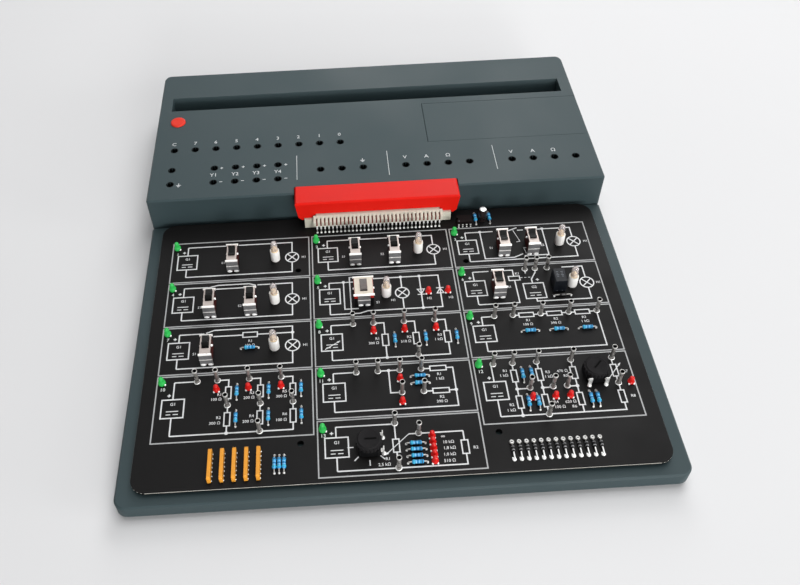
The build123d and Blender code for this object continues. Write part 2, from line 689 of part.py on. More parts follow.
def data_socket():
    """Square data socket in the rear wall, with its tongue."""
    rear = CASE_DEPTH / 2
    low = REAR_SOCKET_FLOOR
    half = DATA_WIDTH / 2
    body = block(-half, half, rear - DATA_DEPTH, rear, low, low + INLET_HEIGHT)
    body -= block(-half + DATA_WALL, half - DATA_WALL, rear - DATA_DEPTH + 2 * DATA_WALL,
                  rear + OVERCUT, low + DATA_WALL, low + INLET_HEIGHT - DATA_WALL)
    width, height = DATA_TONGUE
    middle = low + INLET_HEIGHT / 2
    body += block(-width / 2, width / 2, rear - DATA_DEPTH + DATA_WALL,
                  rear - REAR_SOCKET_SET_BACK, middle - height / 2, middle + height / 2)
    return Pos(DATA_X, 0, 0) * body


def connector_section(gap):
    """The board connector seen from the front: two ears and a taller middle, grown by a gap."""
    low = BOARD_TOP
    return mirrored([
        (EAR_WIDTH / 2 + gap, low),
        (EAR_WIDTH / 2 + gap, low + EAR_HEIGHT + gap),
        (BODY_WIDTH / 2 + gap, low + EAR_HEIGHT + gap),
        (BODY_WIDTH / 2 - BODY_TAPER + gap, low + BODY_HEIGHT + gap),
    ])


def connector_block():
    """Red block that bridges the connector and closes the notch in the hood."""
    half = BLOCK_WIDTH / 2
    foot = half - BLOCK_TAPER - BLOCK_CORNER
    outline = mirrored([
        (foot, BLOCK_BOTTOM),
        (half - BLOCK_TAPER, BLOCK_BOTTOM + BLOCK_CORNER),
        (half, BLOCK_TOP),
    ])
    body = front_profile(outline, BLOCK_FRONT, BLOCK_REAR)
    top = body.faces().sort_by(Axis.Z)[-1].edges()
    body = chamfer([e for e in top if e.center().Y < BLOCK_REAR - EDGE_BEVEL], EDGE_BEVEL)
    roof = BLOCK_TOP - BLOCK_ROOF
    body -= block(-PASSAGE_HALF, PASSAGE_HALF, BLOCK_FRONT + BLOCK_FRONT_WALL,
                  BLOCK_REAR + OVERCUT, BLOCK_BOTTOM - OVERCUT, roof)
    body -= front_profile(connector_section(MATING_GAP), BLOCK_FRONT - OVERCUT,
                          BLOCK_FRONT + BLOCK_FRONT_WALL + OVERCUT)
    return body


def shroud_box(grow, y0, y1):
    """The mating recess between the two connectors, grown by a margin."""
    width, height = SHROUD_INNER
    middle = BOARD_TOP + SHROUD_WALL + height / 2
    return block(-width / 2 - grow, width / 2 + grow, y0, y1,
                 middle - height / 2 - grow, middle + height / 2 + grow)


def board_connector():
    """Right-angle board connector: ears, body, comb over the pins and rear mating shroud."""
    front = GRID_Y + CONNECTOR_FRONT
    rear = front + CONNECTOR_LENGTH
    body = front_profile(connector_section(0.0), front, rear)
    body += shroud_box(SHROUD_WALL, rear, rear + SHROUD_LENGTH)
    body -= shroud_box(0.0, rear, rear + SHROUD_LENGTH + OVERCUT)
    low = BOARD_TOP + RIB_BOTTOM
    high = BOARD_TOP + BODY_HEIGHT
    comb = [(front, low), (front, high), (front - RIB_REACH, high - RIB_SLOPE), (front - RIB_REACH, low)]
    for index in range(PIN_COUNT + 1):
        x = (index - PIN_COUNT / 2) * PIN_PITCH
        body += Pos(x, 0, 0) * side_profile(comb, RIB_WIDTH / 2)
    return body


def board_connector_pins():
    """Pins that leave the connector's front and bend down to the board."""
    front = GRID_Y + CONNECTOR_FRONT
    reach = front - PIN_REACH
    top = BOARD_TOP + PIN_BEND
    bent = [
        (front, top), (reach, top), (reach, BOARD_TOP), (reach + PIN_SIDE, BOARD_TOP),
        (reach + PIN_SIDE, top - PIN_SIDE), (front, top - PIN_SIDE),
    ]
    pin = side_profile(bent, PIN_SIDE / 2)
    first = -(PIN_COUNT - 1) / 2
    return gather([Pos((first + index) * PIN_PITCH, 0, 0) * pin for index in range(PIN_COUNT)])


def master_connector():
    """Mate of the board connector: a tongue and flange on a block that stands on the main board."""
    recess = GRID_Y + CONNECTOR_FRONT + CONNECTOR_LENGTH
    face = recess + SHROUD_LENGTH + MATING_GAP
    half = EAR_WIDTH / 2
    body = shroud_box(-MATING_GAP, recess + 2 * MATING_GAP, face)
    body += block(-half, half, face, face + MATE_FLANGE, MAIN_BOARD_TOP, BOARD_TOP + MATE_FLANGE_TOP)
    return body


def trainer_pcb():
    """The training board: a plate with rounded corners and four mounting holes."""
    middle_y = BOARD_REAR - BOARD_DEPTH / 2
    plate = Pos(0, middle_y) * RectangleRounded(BOARD_WIDTH, BOARD_DEPTH, BOARD_CORNER)
    for x in (-BOARD_HOLE_SPACING_X / 2, BOARD_HOLE_SPACING_X / 2):
        for y in (-BOARD_HOLE_SPACING_Y / 2, BOARD_HOLE_SPACING_Y / 2):
            plate -= Pos(x, GRID_Y + BOARD_HOLE_CENTRE_Y + y) * Circle(BOARD_HOLE_RADIUS)
    return Pos(0, 0, BOARD_BOTTOM) * extrude(plate, amount=BOARD_THICKNESS)


def board_pads():
    """Pads under the board that glide on the deck."""
    reach = BOARD_WIDTH / 2 - PAD_INSET
    rows = (BOARD_REAR - PAD_INSET, BOARD_REAR - BOARD_DEPTH + PAD_INSET)
    half = PAD_SIZE / 2
    pad = block(-half, half, -half, half, BOARD_BOTTOM - PAD_HEIGHT, BOARD_BOTTOM)
    return gather([Pos(x, y) * pad for x in (-reach, reach) for y in rows])


def test_posts():
    """Measuring posts: a square bar that flares to a wider head."""
    neck = POST_HEIGHT - POST_HEAD_HEIGHT
    post = prism(POST_RADIUS, 4, 0, neck)
    post += taper(POST_RADIUS, POST_HEAD_RADIUS, 4, neck, POST_HEIGHT)
    return gather([in_cell(cell, spot) * post for cell, spots in POSTS.items() for spot in spots])


def red_leds():
    """Small red lights, domed."""
    shoulder = RED_LED_HEIGHT - LED_DOME
    light = prism(LED_RADIUS, FLAT_SIDES, 0, shoulder)
    light += taper(LED_RADIUS, LED_TIP_RADIUS, FLAT_SIDES, shoulder, RED_LED_HEIGHT)
    return gather([in_cell(cell, spot) * light for cell, spots in RED_LEDS.items() for spot in spots])


def green_leds():
    """One green light in each cell, flared at its foot."""
    shoulder = GREEN_LED_HEIGHT - LED_DOME
    light = taper(GREEN_RIM_RADIUS, LED_RADIUS, FLAT_SIDES, 0, GREEN_RIM_HEIGHT)
    light += prism(LED_RADIUS, FLAT_SIDES, GREEN_RIM_HEIGHT, shoulder)
    light += taper(LED_RADIUS, LED_TIP_RADIUS, FLAT_SIDES, shoulder, GREEN_LED_HEIGHT)
    last = max(CELL_SPOTS)
    return gather([
        in_cell(cell, LAST_GREEN_LED_SPOT if cell == last else GREEN_LED_SPOT) * light
        for cell in CELL_SPOTS
    ])


def lamp_holders():
    """White tubes that hold the lamps."""
    tube = prism(LAMP_HOLDER_RADIUS, LAMP_SIDES, 0, LAMP_HOLDER_HEIGHT)
    tube -= prism(BULB_RADIUS + BULB_GAP, LAMP_SIDES, LAMP_SEAT, LAMP_HOLDER_HEIGHT + OVERCUT)
    return gather([in_cell(cell, spot) * tube for cell, spot in LAMPS.items()])


def lamp_bulbs():
    """Clear bulbs with a round tip."""
    shoulder = BULB_HEIGHT - BULB_DOME
    bulb = prism(BULB_RADIUS, LAMP_SIDES, LAMP_SEAT, shoulder)
    bulb += taper(BULB_RADIUS, BULB_RADIUS / 2, LAMP_SIDES, shoulder, BULB_HEIGHT)
    return gather([in_cell(cell, spot) * bulb for cell, spot in LAMPS.items()])


def axial_part(length, radius):
    """A round body lying along X on two leads that slope down to the board."""
    axis = radius + AXIAL_LIFT
    body = Pos(-length / 2, 0, axis) * Rot(0, 90, 0) * prism(radius, FLAT_SIDES, 0, length)
    end = LEAD_SPAN / 2 + LEAD_SIDE / 2
    slope = [(length / 2 - LEAD_SIDE, axis), (end - LEAD_SIDE, 0), (end, 0)]
    lead = front_profile(slope, -LEAD_SIDE / 2, LEAD_SIDE / 2)
    return body + lead + Rot(0, 0, 180) * lead


def resistors():
    """Blue axial resistors, across and along the board."""
    across = axial_part(RESISTOR_LENGTH, RESISTOR_RADIUS)
    along = Rot(0, 0, 90) * across
    placed = [in_cell(c, s) * across for c, spots in RESISTORS_ALONG_X.items() for s in spots]
    placed += [in_cell(c, s) * along for c, spots in RESISTORS_ALONG_Y.items() for s in spots]
    placed += [on_grid(*spot) * along for spot in SPARE_RESISTORS + CONTROL_RESISTORS]
    return gather(placed)


def diodes():
    """A row of axial diodes along the front edge."""
    along = Rot(0, 0, 90) * axial_part(DIODE_LENGTH, DIODE_RADIUS)
    start = on_grid(*DIODE_START)
    return gather([Pos(index * DIODE_PITCH, 0, 0) * start * along for index in range(DIODE_COUNT)])


def relay_diode():
    """The diode across the relay's coil."""
    return in_cell(6, RELAY_DIODE_SPOT) * axial_part(DIODE_LENGTH, DIODE_RADIUS)


def resistor_networks():
    """Upright single-row networks with bevelled upper corners."""
    half = NETWORK_LENGTH / 2
    high = NETWORK_HEIGHT
    outline = [
        (-half, 0), (half, 0), (half, high - NETWORK_CHAMFER), (half - NETWORK_CHAMFER, high),
        (-half + NETWORK_CHAMFER, high), (-half, high - NETWORK_CHAMFER),
    ]
    network = side_profile(outline, NETWORK_THICKNESS / 2)
    start = on_grid(*NETWORK_START)
    return gather([Pos(index * NETWORK_PITCH, 0, 0) * start * network for index in range(NETWORK_COUNT)])


def relay():
    """Upright relay with a bevelled top."""
    width, depth, height = RELAY_SIZE
    case = Box(width, depth, height, align=LOW)
    case = chamfer(case.faces().sort_by(Axis.Z)[-1].edges(), RELAY_CHAMFER)
    return in_cell(6, RELAY_SPOT) * case


def control_chip():
    """Eight-lead chip with a notch at its left end."""
    width, depth, height = CHIP_BODY
    body = Pos(0, 0, CHIP_LIFT) * Box(width, depth, height, align=LOW)
    shoulder = CHIP_LIFT + height / 2
    body -= Pos(-width / 2, 0, shoulder) * Box(CHIP_NOTCH, CHIP_NOTCH, height, align=LOW)
    foot = CHIP_ROW_SPACING / 2
    bent = [
        (depth / 2, shoulder), (foot, shoulder), (foot, 0), (foot - LEAD_SIDE / 2, 0),
        (foot - LEAD_SIDE / 2, shoulder - LEAD_SIDE / 2), (depth / 2, shoulder - LEAD_SIDE / 2),
    ]
    lead = side_profile(bent, CHIP_LEAD_WIDTH / 2)
    first = -(CHIP_LEADS_PER_ROW - 1) / 2
    for index in range(CHIP_LEADS_PER_ROW):
        place = Pos((first + index) * PIN_PITCH, 0, 0)
        body += place * lead
        body += place * Rot(0, 0, 180) * lead
    return on_grid(*CHIP_SPOT) * body


def supply_capacitor():
    """Upright can beside the chip."""
    shoulder = CAN_HEIGHT - CAN_BEVEL
    can = prism(CAN_RADIUS, CAN_SIDES, 0, shoulder)
    can += taper(CAN_RADIUS, CAN_RADIUS - CAN_BEVEL, CAN_SIDES, shoulder, CAN_HEIGHT)
    return on_grid(*CAN_SPOT) * can


def switch_body(form):
    """Red housing with the pocket that the rocker swings in and slots for its trunnions."""
    half = form.body_width / 2
    plate_bottom = SWITCH_TOP - SHEET
    body = block(-half, half, -form.front + SHEET, form.rear - SHEET, 0, plate_bottom)
    pocket = form.opening_length / 2
    side = form.opening_width / 2
    body -= block(-side, side, -pocket, pocket, POCKET_FLOOR, SWITCH_TOP)
    slot = TRUNNION_RADIUS + TRUNNION_GAP
    body -= block(-half - OVERCUT, half + OVERCUT, -slot, slot, PIVOT_HEIGHT - slot, SWITCH_TOP)
    return body


def switch_frame(form):
    """Bent sheet over the housing: a plate with the rocker's opening and a skirt with two feet."""
    bottom = SWITCH_TOP - SHEET
    front = -form.front
    half = form.plate_width / 2
    rail = form.rail_width / 2
    edge = -form.opening_length / 2
    outline = [
        (half, front + BEND_CHAMFER), (half, edge), (rail, edge), (rail, form.rear),
        (-rail, form.rear), (-rail, edge), (-half, edge), (-half, front + BEND_CHAMFER),
    ]
    plate = Pos(0, 0, bottom) * extrude(Polygon(*outline, align=None), amount=SHEET)
    opening = Rectangle(form.opening_width, form.opening_length)
    plate -= Pos(0, 0, bottom - OVERCUT) * extrude(opening, amount=SHEET + 2 * OVERCUT)
    skirt_half = form.skirt_width / 2
    notch_half = SKIRT_NOTCH[0] / 2
    notch_top = SKIRT_NOTCH[1]
    skirt_top = SWITCH_TOP - BEND_CHAMFER
    skirt = mirrored([(notch_half, notch_top), (notch_half, 0), (skirt_half, 0), (skirt_half, skirt_top)])
    plate += front_profile(skirt, front, front + SHEET)
    bend = [
        (front, skirt_top), (front + SHEET, skirt_top), (front + BEND_CHAMFER, bottom),
        (front + BEND_CHAMFER, SWITCH_TOP),
    ]
    return plate + side_profile(bend, min(half, skirt_half))


def rocker(form, front_down):
    """Rocker with a V-shaped top, tilted to the end that rests pressed, on its two trunnions."""
    tilt = math.radians(ROCKER_TILT)
    room = form.opening_length / 2 - ROCKER_END_GAP
    tip = (room - ROCKER_CREST * math.sin(tilt)) / (math.cos(tilt) + math.tan(tilt) * math.sin(tilt))
    crest = ROCKER_CREST + tip * math.tan(tilt)
    keel = tip * ROCKER_KEEL_SHARE
    outline = [
        (tip, crest), (0, ROCKER_CREST), (-tip, crest), (-tip, ROCKER_WAIST),
        (-keel, -ROCKER_KEEL), (keel, -ROCKER_KEEL), (tip, ROCKER_WAIST),
    ]
    body = side_profile(outline, form.opening_width / 2 - ROCKER_SIDE_GAP)
    reach = TRUNNION_REACH + (form.body_width - SMALL_SWITCH.body_width) / 2
    trunnion = Rot(0, 90, 0) * prism(TRUNNION_RADIUS, 4, -reach, reach)
    return Rot(ROCKER_TILT if front_down else -ROCKER_TILT, 0, 0) * (body + trunnion)


def switch_bodies():
    """All the switch housings."""
    return gather([in_cell(s.cell, (s.x, s.y)) * switch_body(s.form) for s in SWITCHES])


def switch_frames():
    """All the switch frames."""
    return gather([in_cell(s.cell, (s.x, s.y)) * switch_frame(s.form) for s in SWITCHES])


def potentiometer(cell, leg_side):
    """Square potentiometer with two snap-in legs and a well for the wheel's shaft."""
    body = Box(POT_SIZE, POT_SIZE, POT_HEIGHT, align=LOW)
    body = chamfer(body.edges().filter_by(Axis.Z), POT_CHAMFER)
    well = POT_SHAFT_RADIUS + POT_SHAFT_GAP
    body -= prism(well, 12, POT_HEIGHT - POT_SHAFT_DEPTH - POT_SHAFT_GAP, POT_HEIGHT + OVERCUT)
    width, thickness, height = POT_LEG
    y0 = POT_SIZE / 2
    for x in (-POT_LEG_SPACING / 2, POT_LEG_SPACING / 2):
        sides = (x - width / 2, x + width / 2)
        body += block(*sides, y0 - POT_CHAMFER, y0 + thickness, 0, POT_HEIGHT)
        body += block(*sides, y0, y0 + thickness, 0, height)
    return in_cell(cell, POT_SPOTS[cell]) * Rot(0, 0, 180 if leg_side < 0 else 0) * body


def knob(cell):
    """Fluted thumb wheel with a bevelled top, a pointer slot and a shaft."""
    bottom = POT_HEIGHT + KNOB_LIFT
    top = bottom + KNOB_HEIGHT
    shoulder = top - KNOB_BEVEL_HEIGHT
    step = 360 / KNOB_FLUTES
    rim = []
    for flute in range(KNOB_FLUTES):
        for turn, radius in ((0.0, KNOB_RADIUS), (0.5, KNOB_RADIUS - KNOB_FLUTE_DEPTH)):
            angle = math.radians((flute + turn) * step)
            rim.append((radius * math.cos(angle), radius * math.sin(angle)))
    wheel = Pos(0, 0, bottom) * extrude(Polygon(*rim, align=None), amount=shoulder - bottom)
    cone_radius = KNOB_RADIUS - KNOB_FLUTE_DEPTH
    wheel += taper(cone_radius, KNOB_RADIUS - KNOB_BEVEL, KNOB_FLUTES, shoulder, top)
    length, width, depth = KNOB_SLOT
    wheel -= Pos(KNOB_SLOT_OFFSET, 0, top - depth) * Box(length, width, depth + OVERCUT, align=LOW)
    wheel += prism(POT_SHAFT_RADIUS, 12, POT_HEIGHT - POT_SHAFT_DEPTH, bottom)
    return in_cell(cell, POT_SPOTS[cell]) * Rot(0, 0, KNOB_TURN[cell]) * wheel


NODES = {
    "bottom_plate": bottom_plate(),
    "rubber_feet": rubber_feet(),
    "front_deck": front_deck(),
    "rear_cover": rear_cover(),
    "main_circuit_board": main_circuit_board(),
    "panel_sockets": panel_sockets(),
    "power_button": power_button(),
    "button_switch": button_switch(),
    "extension_bay": extension_bay(),
    "extension_cover": extension_cover(),
    "power_inlet": power_inlet(),
    "data_socket": data_socket(),
    "connector_block": connector_block(),
    "master_connector": master_connector(),
    "trainer_pcb": trainer_pcb(),
    "board_pads": board_pads(),
    "board_connector": board_connector(),
    "board_connector_pins": board_connector_pins(),
    "test_posts": test_posts(),
    "red_leds": red_leds(),
    "green_leds": green_leds(),
    "lamp_holders": lamp_holders(),
    "lamp_bulbs": lamp_bulbs(),
    "resistors": resistors(),
    "diodes": diodes(),
    "relay_diode": relay_diode(),
    "resistor_networks": resistor_networks(),
    "relay": relay(),
    "control_chip": control_chip(),
    "supply_capacitor": supply_capacitor(),
    "switch_bodies": switch_bodies(),
    "switch_frames": switch_frames(),
    "potentiometer_12": potentiometer(12, -1),
    "potentiometer_13": potentiometer(13, 1),
    "knob_12": knob(12),
    "knob_13": knob(13),
}
for switch in SWITCHES:
    place = in_cell(switch.cell, (switch.x, switch.y), PIVOT_HEIGHT)
    NODES[switch.node] = place * rocker(switch.form, switch.front_down)

for name, shape in NODES.items():
    export_step(shape, f"parts/{name}.step")
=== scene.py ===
"""Looks of the direct current circuit trainer: materials on the CAD shapes, and detailed pieces
where the real parts show more than the CAD does. Sizes are millimetres until a piece is made.
"""

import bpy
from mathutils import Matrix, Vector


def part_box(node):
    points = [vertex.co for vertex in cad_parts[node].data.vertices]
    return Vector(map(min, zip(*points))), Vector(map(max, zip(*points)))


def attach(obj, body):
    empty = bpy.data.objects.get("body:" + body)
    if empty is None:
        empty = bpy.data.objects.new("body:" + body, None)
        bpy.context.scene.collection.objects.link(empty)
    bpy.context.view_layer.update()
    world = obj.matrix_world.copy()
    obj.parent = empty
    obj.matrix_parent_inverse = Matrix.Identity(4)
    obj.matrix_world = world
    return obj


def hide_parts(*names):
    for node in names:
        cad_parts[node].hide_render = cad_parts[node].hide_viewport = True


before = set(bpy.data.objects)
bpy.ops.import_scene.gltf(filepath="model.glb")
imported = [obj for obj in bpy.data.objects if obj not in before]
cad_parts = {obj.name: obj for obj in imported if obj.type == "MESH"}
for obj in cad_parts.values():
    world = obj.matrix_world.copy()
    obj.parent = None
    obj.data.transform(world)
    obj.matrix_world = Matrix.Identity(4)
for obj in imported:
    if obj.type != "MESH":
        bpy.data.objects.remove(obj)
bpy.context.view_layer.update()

import copy
import itertools
import math

import bmesh
import bpy
from mathutils import Euler, Matrix, Vector

scene = bpy.context.scene
MM = 0.001
SHARP = math.radians(38)
BOARD_TOP = 17
HOOD_TOP = 36.5

# The printed grid's rear left corner, and the pitch of its cells
GRID_X, GRID_Y = -131.8, 11.5
COLUMN, ROW = 88.3, 34.4

# A printed line's width, the print's thickness, and the steps that keep crossing lines apart
WIRE = 0.75
FILM = 0.05
LAYER = 0.0015
LAYERS = 19


def new_object(name, data):
    """An object in the scene."""
    thing = bpy.data.objects.new(name, data)
    scene.collection.objects.link(thing)
    return thing


# Camera

CAMERA_PLACE = (-0.02743, -0.37265, 0.4117)
CAMERA_TURN = (42.3178, 1.5617, -2.9229)
CAMERA_LENS = 38.5575
CAMERA_SHIFT = (0.06252, -0.0367)

camera = new_object("camera", bpy.data.cameras.new("camera"))
camera.location = CAMERA_PLACE
camera.rotation_euler = [math.radians(angle) for angle in CAMERA_TURN]
camera.data.sensor_width = 36
camera.data.lens = CAMERA_LENS
camera.data.shift_x, camera.data.shift_y = CAMERA_SHIFT
camera.data.clip_start = 0.01
scene.camera = camera
scene.view_settings.view_transform = "Standard"


# Materials

LOOKS = {}


def linear(code):
    """The linear colour of a hexadecimal one."""
    parts = [int(code[i:i + 2], 16) / 255 for i in (1, 3, 5)]
    return [c / 12.92 if c <= 0.04045 else ((c + 0.055) / 1.055) ** 2.4 for c in parts] + [1]


def new_node(tree, kind, values=(), **settings):
    """A shader node with these settings and input values."""
    node = tree.nodes.new("ShaderNode" + kind)
    for key, value in settings.items():
        setattr(node, key, value)
    for key, value in dict(values).items():
        node.inputs[key].default_value = value
    return node


def look(name, code, rough=0.5, metal=0, vary=0.1, patch=2, grain=0.15, speck=0.5,
         coat=0, clear=0, painted_glow=0, ior=1.5, shine=0.15):
    """A procedural material: soft patches and fine specks of colour, uneven gloss, fine grain.

    patch and speck are the sizes of the patches and of the grain, in millimetres.
    """
    material = bpy.data.materials.new(name)
    material.use_nodes = True
    tree = material.node_tree
    link = tree.links.new
    shader = tree.nodes["Principled BSDF"]
    colour = linear(code)
    values = {"Metallic": metal, "Coat Weight": coat, "Coat Roughness": 0.12,
              "Transmission Weight": clear, "IOR": ior, "Specular IOR Level": shine}
    # painted glow: emission in the surface's own colour, painted light that brightens the part
    if painted_glow:
        values.update({"Emission Color": colour, "Emission Strength": painted_glow})
    for key, value in values.items():
        shader.inputs[key].default_value = value
    place = new_node(tree, "TexCoord").outputs["Object"]
    patches = new_node(tree, "TexNoise", {"Scale": 1000 / patch, "Detail": 4})
    specks = new_node(tree, "TexNoise", {"Scale": 1000 / speck, "Detail": 2})
    blend = new_node(tree, "Mix", {"Factor": 0.35}, data_type="FLOAT")
    for noise, side in ((patches, "A"), (specks, "B")):
        link(place, noise.inputs["Vector"])
        link(noise.outputs["Fac"], blend.inputs[side])
    ramp = new_node(tree, "ValToRGB")
    for element, position, factor in zip(ramp.color_ramp.elements, (0.3, 0.7), (1 - vary, 1 + vary)):
        element.position = position
        element.color = [min(1, c * factor) for c in colour[:3]] + [1]
    link(blend.outputs["Result"], ramp.inputs["Fac"])
    link(ramp.outputs["Color"], shader.inputs["Base Color"])
    gloss = new_node(tree, "MapRange", {"From Min": 0.3, "From Max": 0.7, "To Min": rough * 0.85,
                                        "To Max": min(1, rough * 1.15)})
    link(patches.outputs["Fac"], gloss.inputs["Value"])
    link(gloss.outputs["Result"], shader.inputs["Roughness"])
    if grain:
        bump = new_node(tree, "Bump", {"Strength": grain, "Distance": 0.1 * MM})
        link(specks.outputs["Fac"], bump.inputs["Height"])
        link(bump.outputs["Normal"], shader.inputs["Normal"])
    LOOKS[name] = material
    return material


look("case", "#344245", rough=0.52, vary=0.05, patch=60, grain=0.35, shine=0.24)
look("foot", "#1c1c1d", rough=0.8, patch=30, grain=0.4, speck=0.8)
look("laminate", "#080707", vary=0.08, patch=25, grain=0.1, speck=0.35, shine=0.12)
look("cut_edge", "#c4c2ba", vary=0.12, patch=12, grain=0.1, speck=0.3)
look("print", "#e0e1e2", vary=0.05, patch=6, grain=0.1, speck=0.3)
look("frame_print", "#b3b4b5", vary=0.06, patch=6, grain=0.1, speck=0.3)
look("hood_print", "#d4d7d8", vary=0.06, patch=6, grain=0.1, speck=0.3)
look("socket", "#0a0b0c", rough=0.6, patch=30, grain=0.1, shine=0.06)
look("socket_metal", "#8d8a80", rough=0.35, metal=1, patch=30)
look("button", "#e23a2b", rough=0.4, vary=0.05, patch=4, coat=0.1, shine=0.09)
look("block", "#de1c12", rough=0.4, vary=0.05, patch=40, speck=0.4, shine=0.12)
look("beige", "#cdc9ba", rough=0.45, vary=0.06, patch=8)
look("bronze", "#7c3329", rough=0.45, metal=0.2, vary=0.25, patch=1.5)
look("pin", "#d9d6cd", rough=0.28, metal=1, vary=0.08)
# solder near-white with a faint painted glow: painted highlight on the joints and feet
look("foot_solder", "#fcfcfa", rough=0.35, vary=0.04, patch=1.5, painted_glow=0.12)
look("solder", "#f2f2f0", rough=0.3, metal=0.35, vary=0.06, patch=1.5, painted_glow=0.1)
look("post", "#aeaba7", rough=0.28, metal=0.7, vary=0.15, patch=3, grain=0.1, speck=0.3)
look("ring", "#d3d2cf", rough=0.3, metal=0.25, vary=0.05)
# near-black painted shade inside the posts' bores, in the gap round their feet and in the knob's pointer
# groove
look("painted_recess_shade", "#060606", rough=0.7, patch=30, shine=0.04)
look("lead", "#b0aeaa", rough=0.35, metal=0.5)
# the lenses glow faintly in their own colour: painted light
look("red_lens", "#c41814", rough=0.25, vary=0.08, grain=0.05, coat=0.3, painted_glow=0.25)
look("green_lens", "#2ba44a", rough=0.25, grain=0.05, coat=0.3, painted_glow=0.35)
look("white_plastic", "#f4f2ee", rough=0.4, vary=0.04, patch=4)
# the bulb's cream-gold seat glows faintly: painted light; the glass keeps a milky pale-pink share: painted
# reflection on the dome
look("gold_seat", "#eed7ad", vary=0.15, patch=1.5, painted_glow=0.1)
look("glass", "#f0ecec", rough=0.08, vary=0.04, patch=3, grain=0, coat=1, clear=0.8, ior=1.15)
look("filament", "#8c8984", rough=0.35, metal=0.9, patch=30)
# resistor bodies glow faintly: painted light
look("blue_body", "#2a96cf", rough=0.3, grain=0.05, coat=0.4, painted_glow=0.05)
for band, code in (("pale", "#8fcdf0"), ("dark", "#1f5f96"), ("brown", "#31506f"), ("teal", "#4cc3d6")):
    look("band_" + band, code, rough=0.4, vary=0.05, patch=1)
look("diode_black", "#141415", rough=0.35)
look("band_grey", "#9c9c9e", rough=0.4, vary=0.08, patch=1)
look("diode_glass", "#3c3a39", rough=0.12, patch=1.5, coat=0.5)
look("network", "#eb9f35", rough=0.3, vary=0.07, patch=3, grain=0.05, coat=0.3)
# dark orange for one side of the resistor networks: painted shade on their unlit side
look("network_painted_shade", "#8c5717", rough=0.4, vary=0.07, patch=3)
look("relay", "#13161b", rough=0.35, vary=0.08, patch=5)
look("faint_print", "#6b6f75")
look("chip", "#150f0f", rough=0.65, vary=0.15, shine=0.07)
look("sleeve", "#2c2424", rough=0.28, vary=0.15, coat=0.3)
look("can_top", "#dcdcdc", rough=0.25, metal=0.7, vary=0.05)
look("switch_red", "#b02c24", rough=0.45, vary=0.08, patch=3)
look("steel", "#b9aea8", rough=0.4, metal=0.4, vary=0.06, patch=4, grain=0.04, speck=0.35)
# near-white flange metal with a faint glow: painted highlight on the switch bends, rear bars and skirt
# strips
look("flange", "#f1efeb", rough=0.3, metal=0.2, vary=0.05, patch=3, grain=0.04, painted_glow=0.05)
look("cream", "#c9c0b2", rough=0.45, metal=0.3, vary=0.06, patch=4, grain=0.04, speck=0.35)
# dark maroon: the red housing plastic painted in shade
look("switch_red_painted_shade", "#431815", patch=3)
look("skirt", "#9a999a", rough=0.36, metal=0.65, vary=0.12, patch=2.5, grain=0.1, speck=0.6)
look("rocker", "#101110", rough=0.4)
look("grey_rocker", "#77716e", rough=0.45)
look("knob", "#1e1d1e", rough=0.7, vary=0.12, patch=3, grain=0.35, speck=0.4, shine=0.09)
look("pot", "#0e0e0f", patch=3, shine=0.1)
look("inner_board", "#1f5a3c", rough=0.4, patch=12)
look("shell_metal", "#b9b9b6", rough=0.3, metal=0.9, patch=4)


# Pieces in mesh code

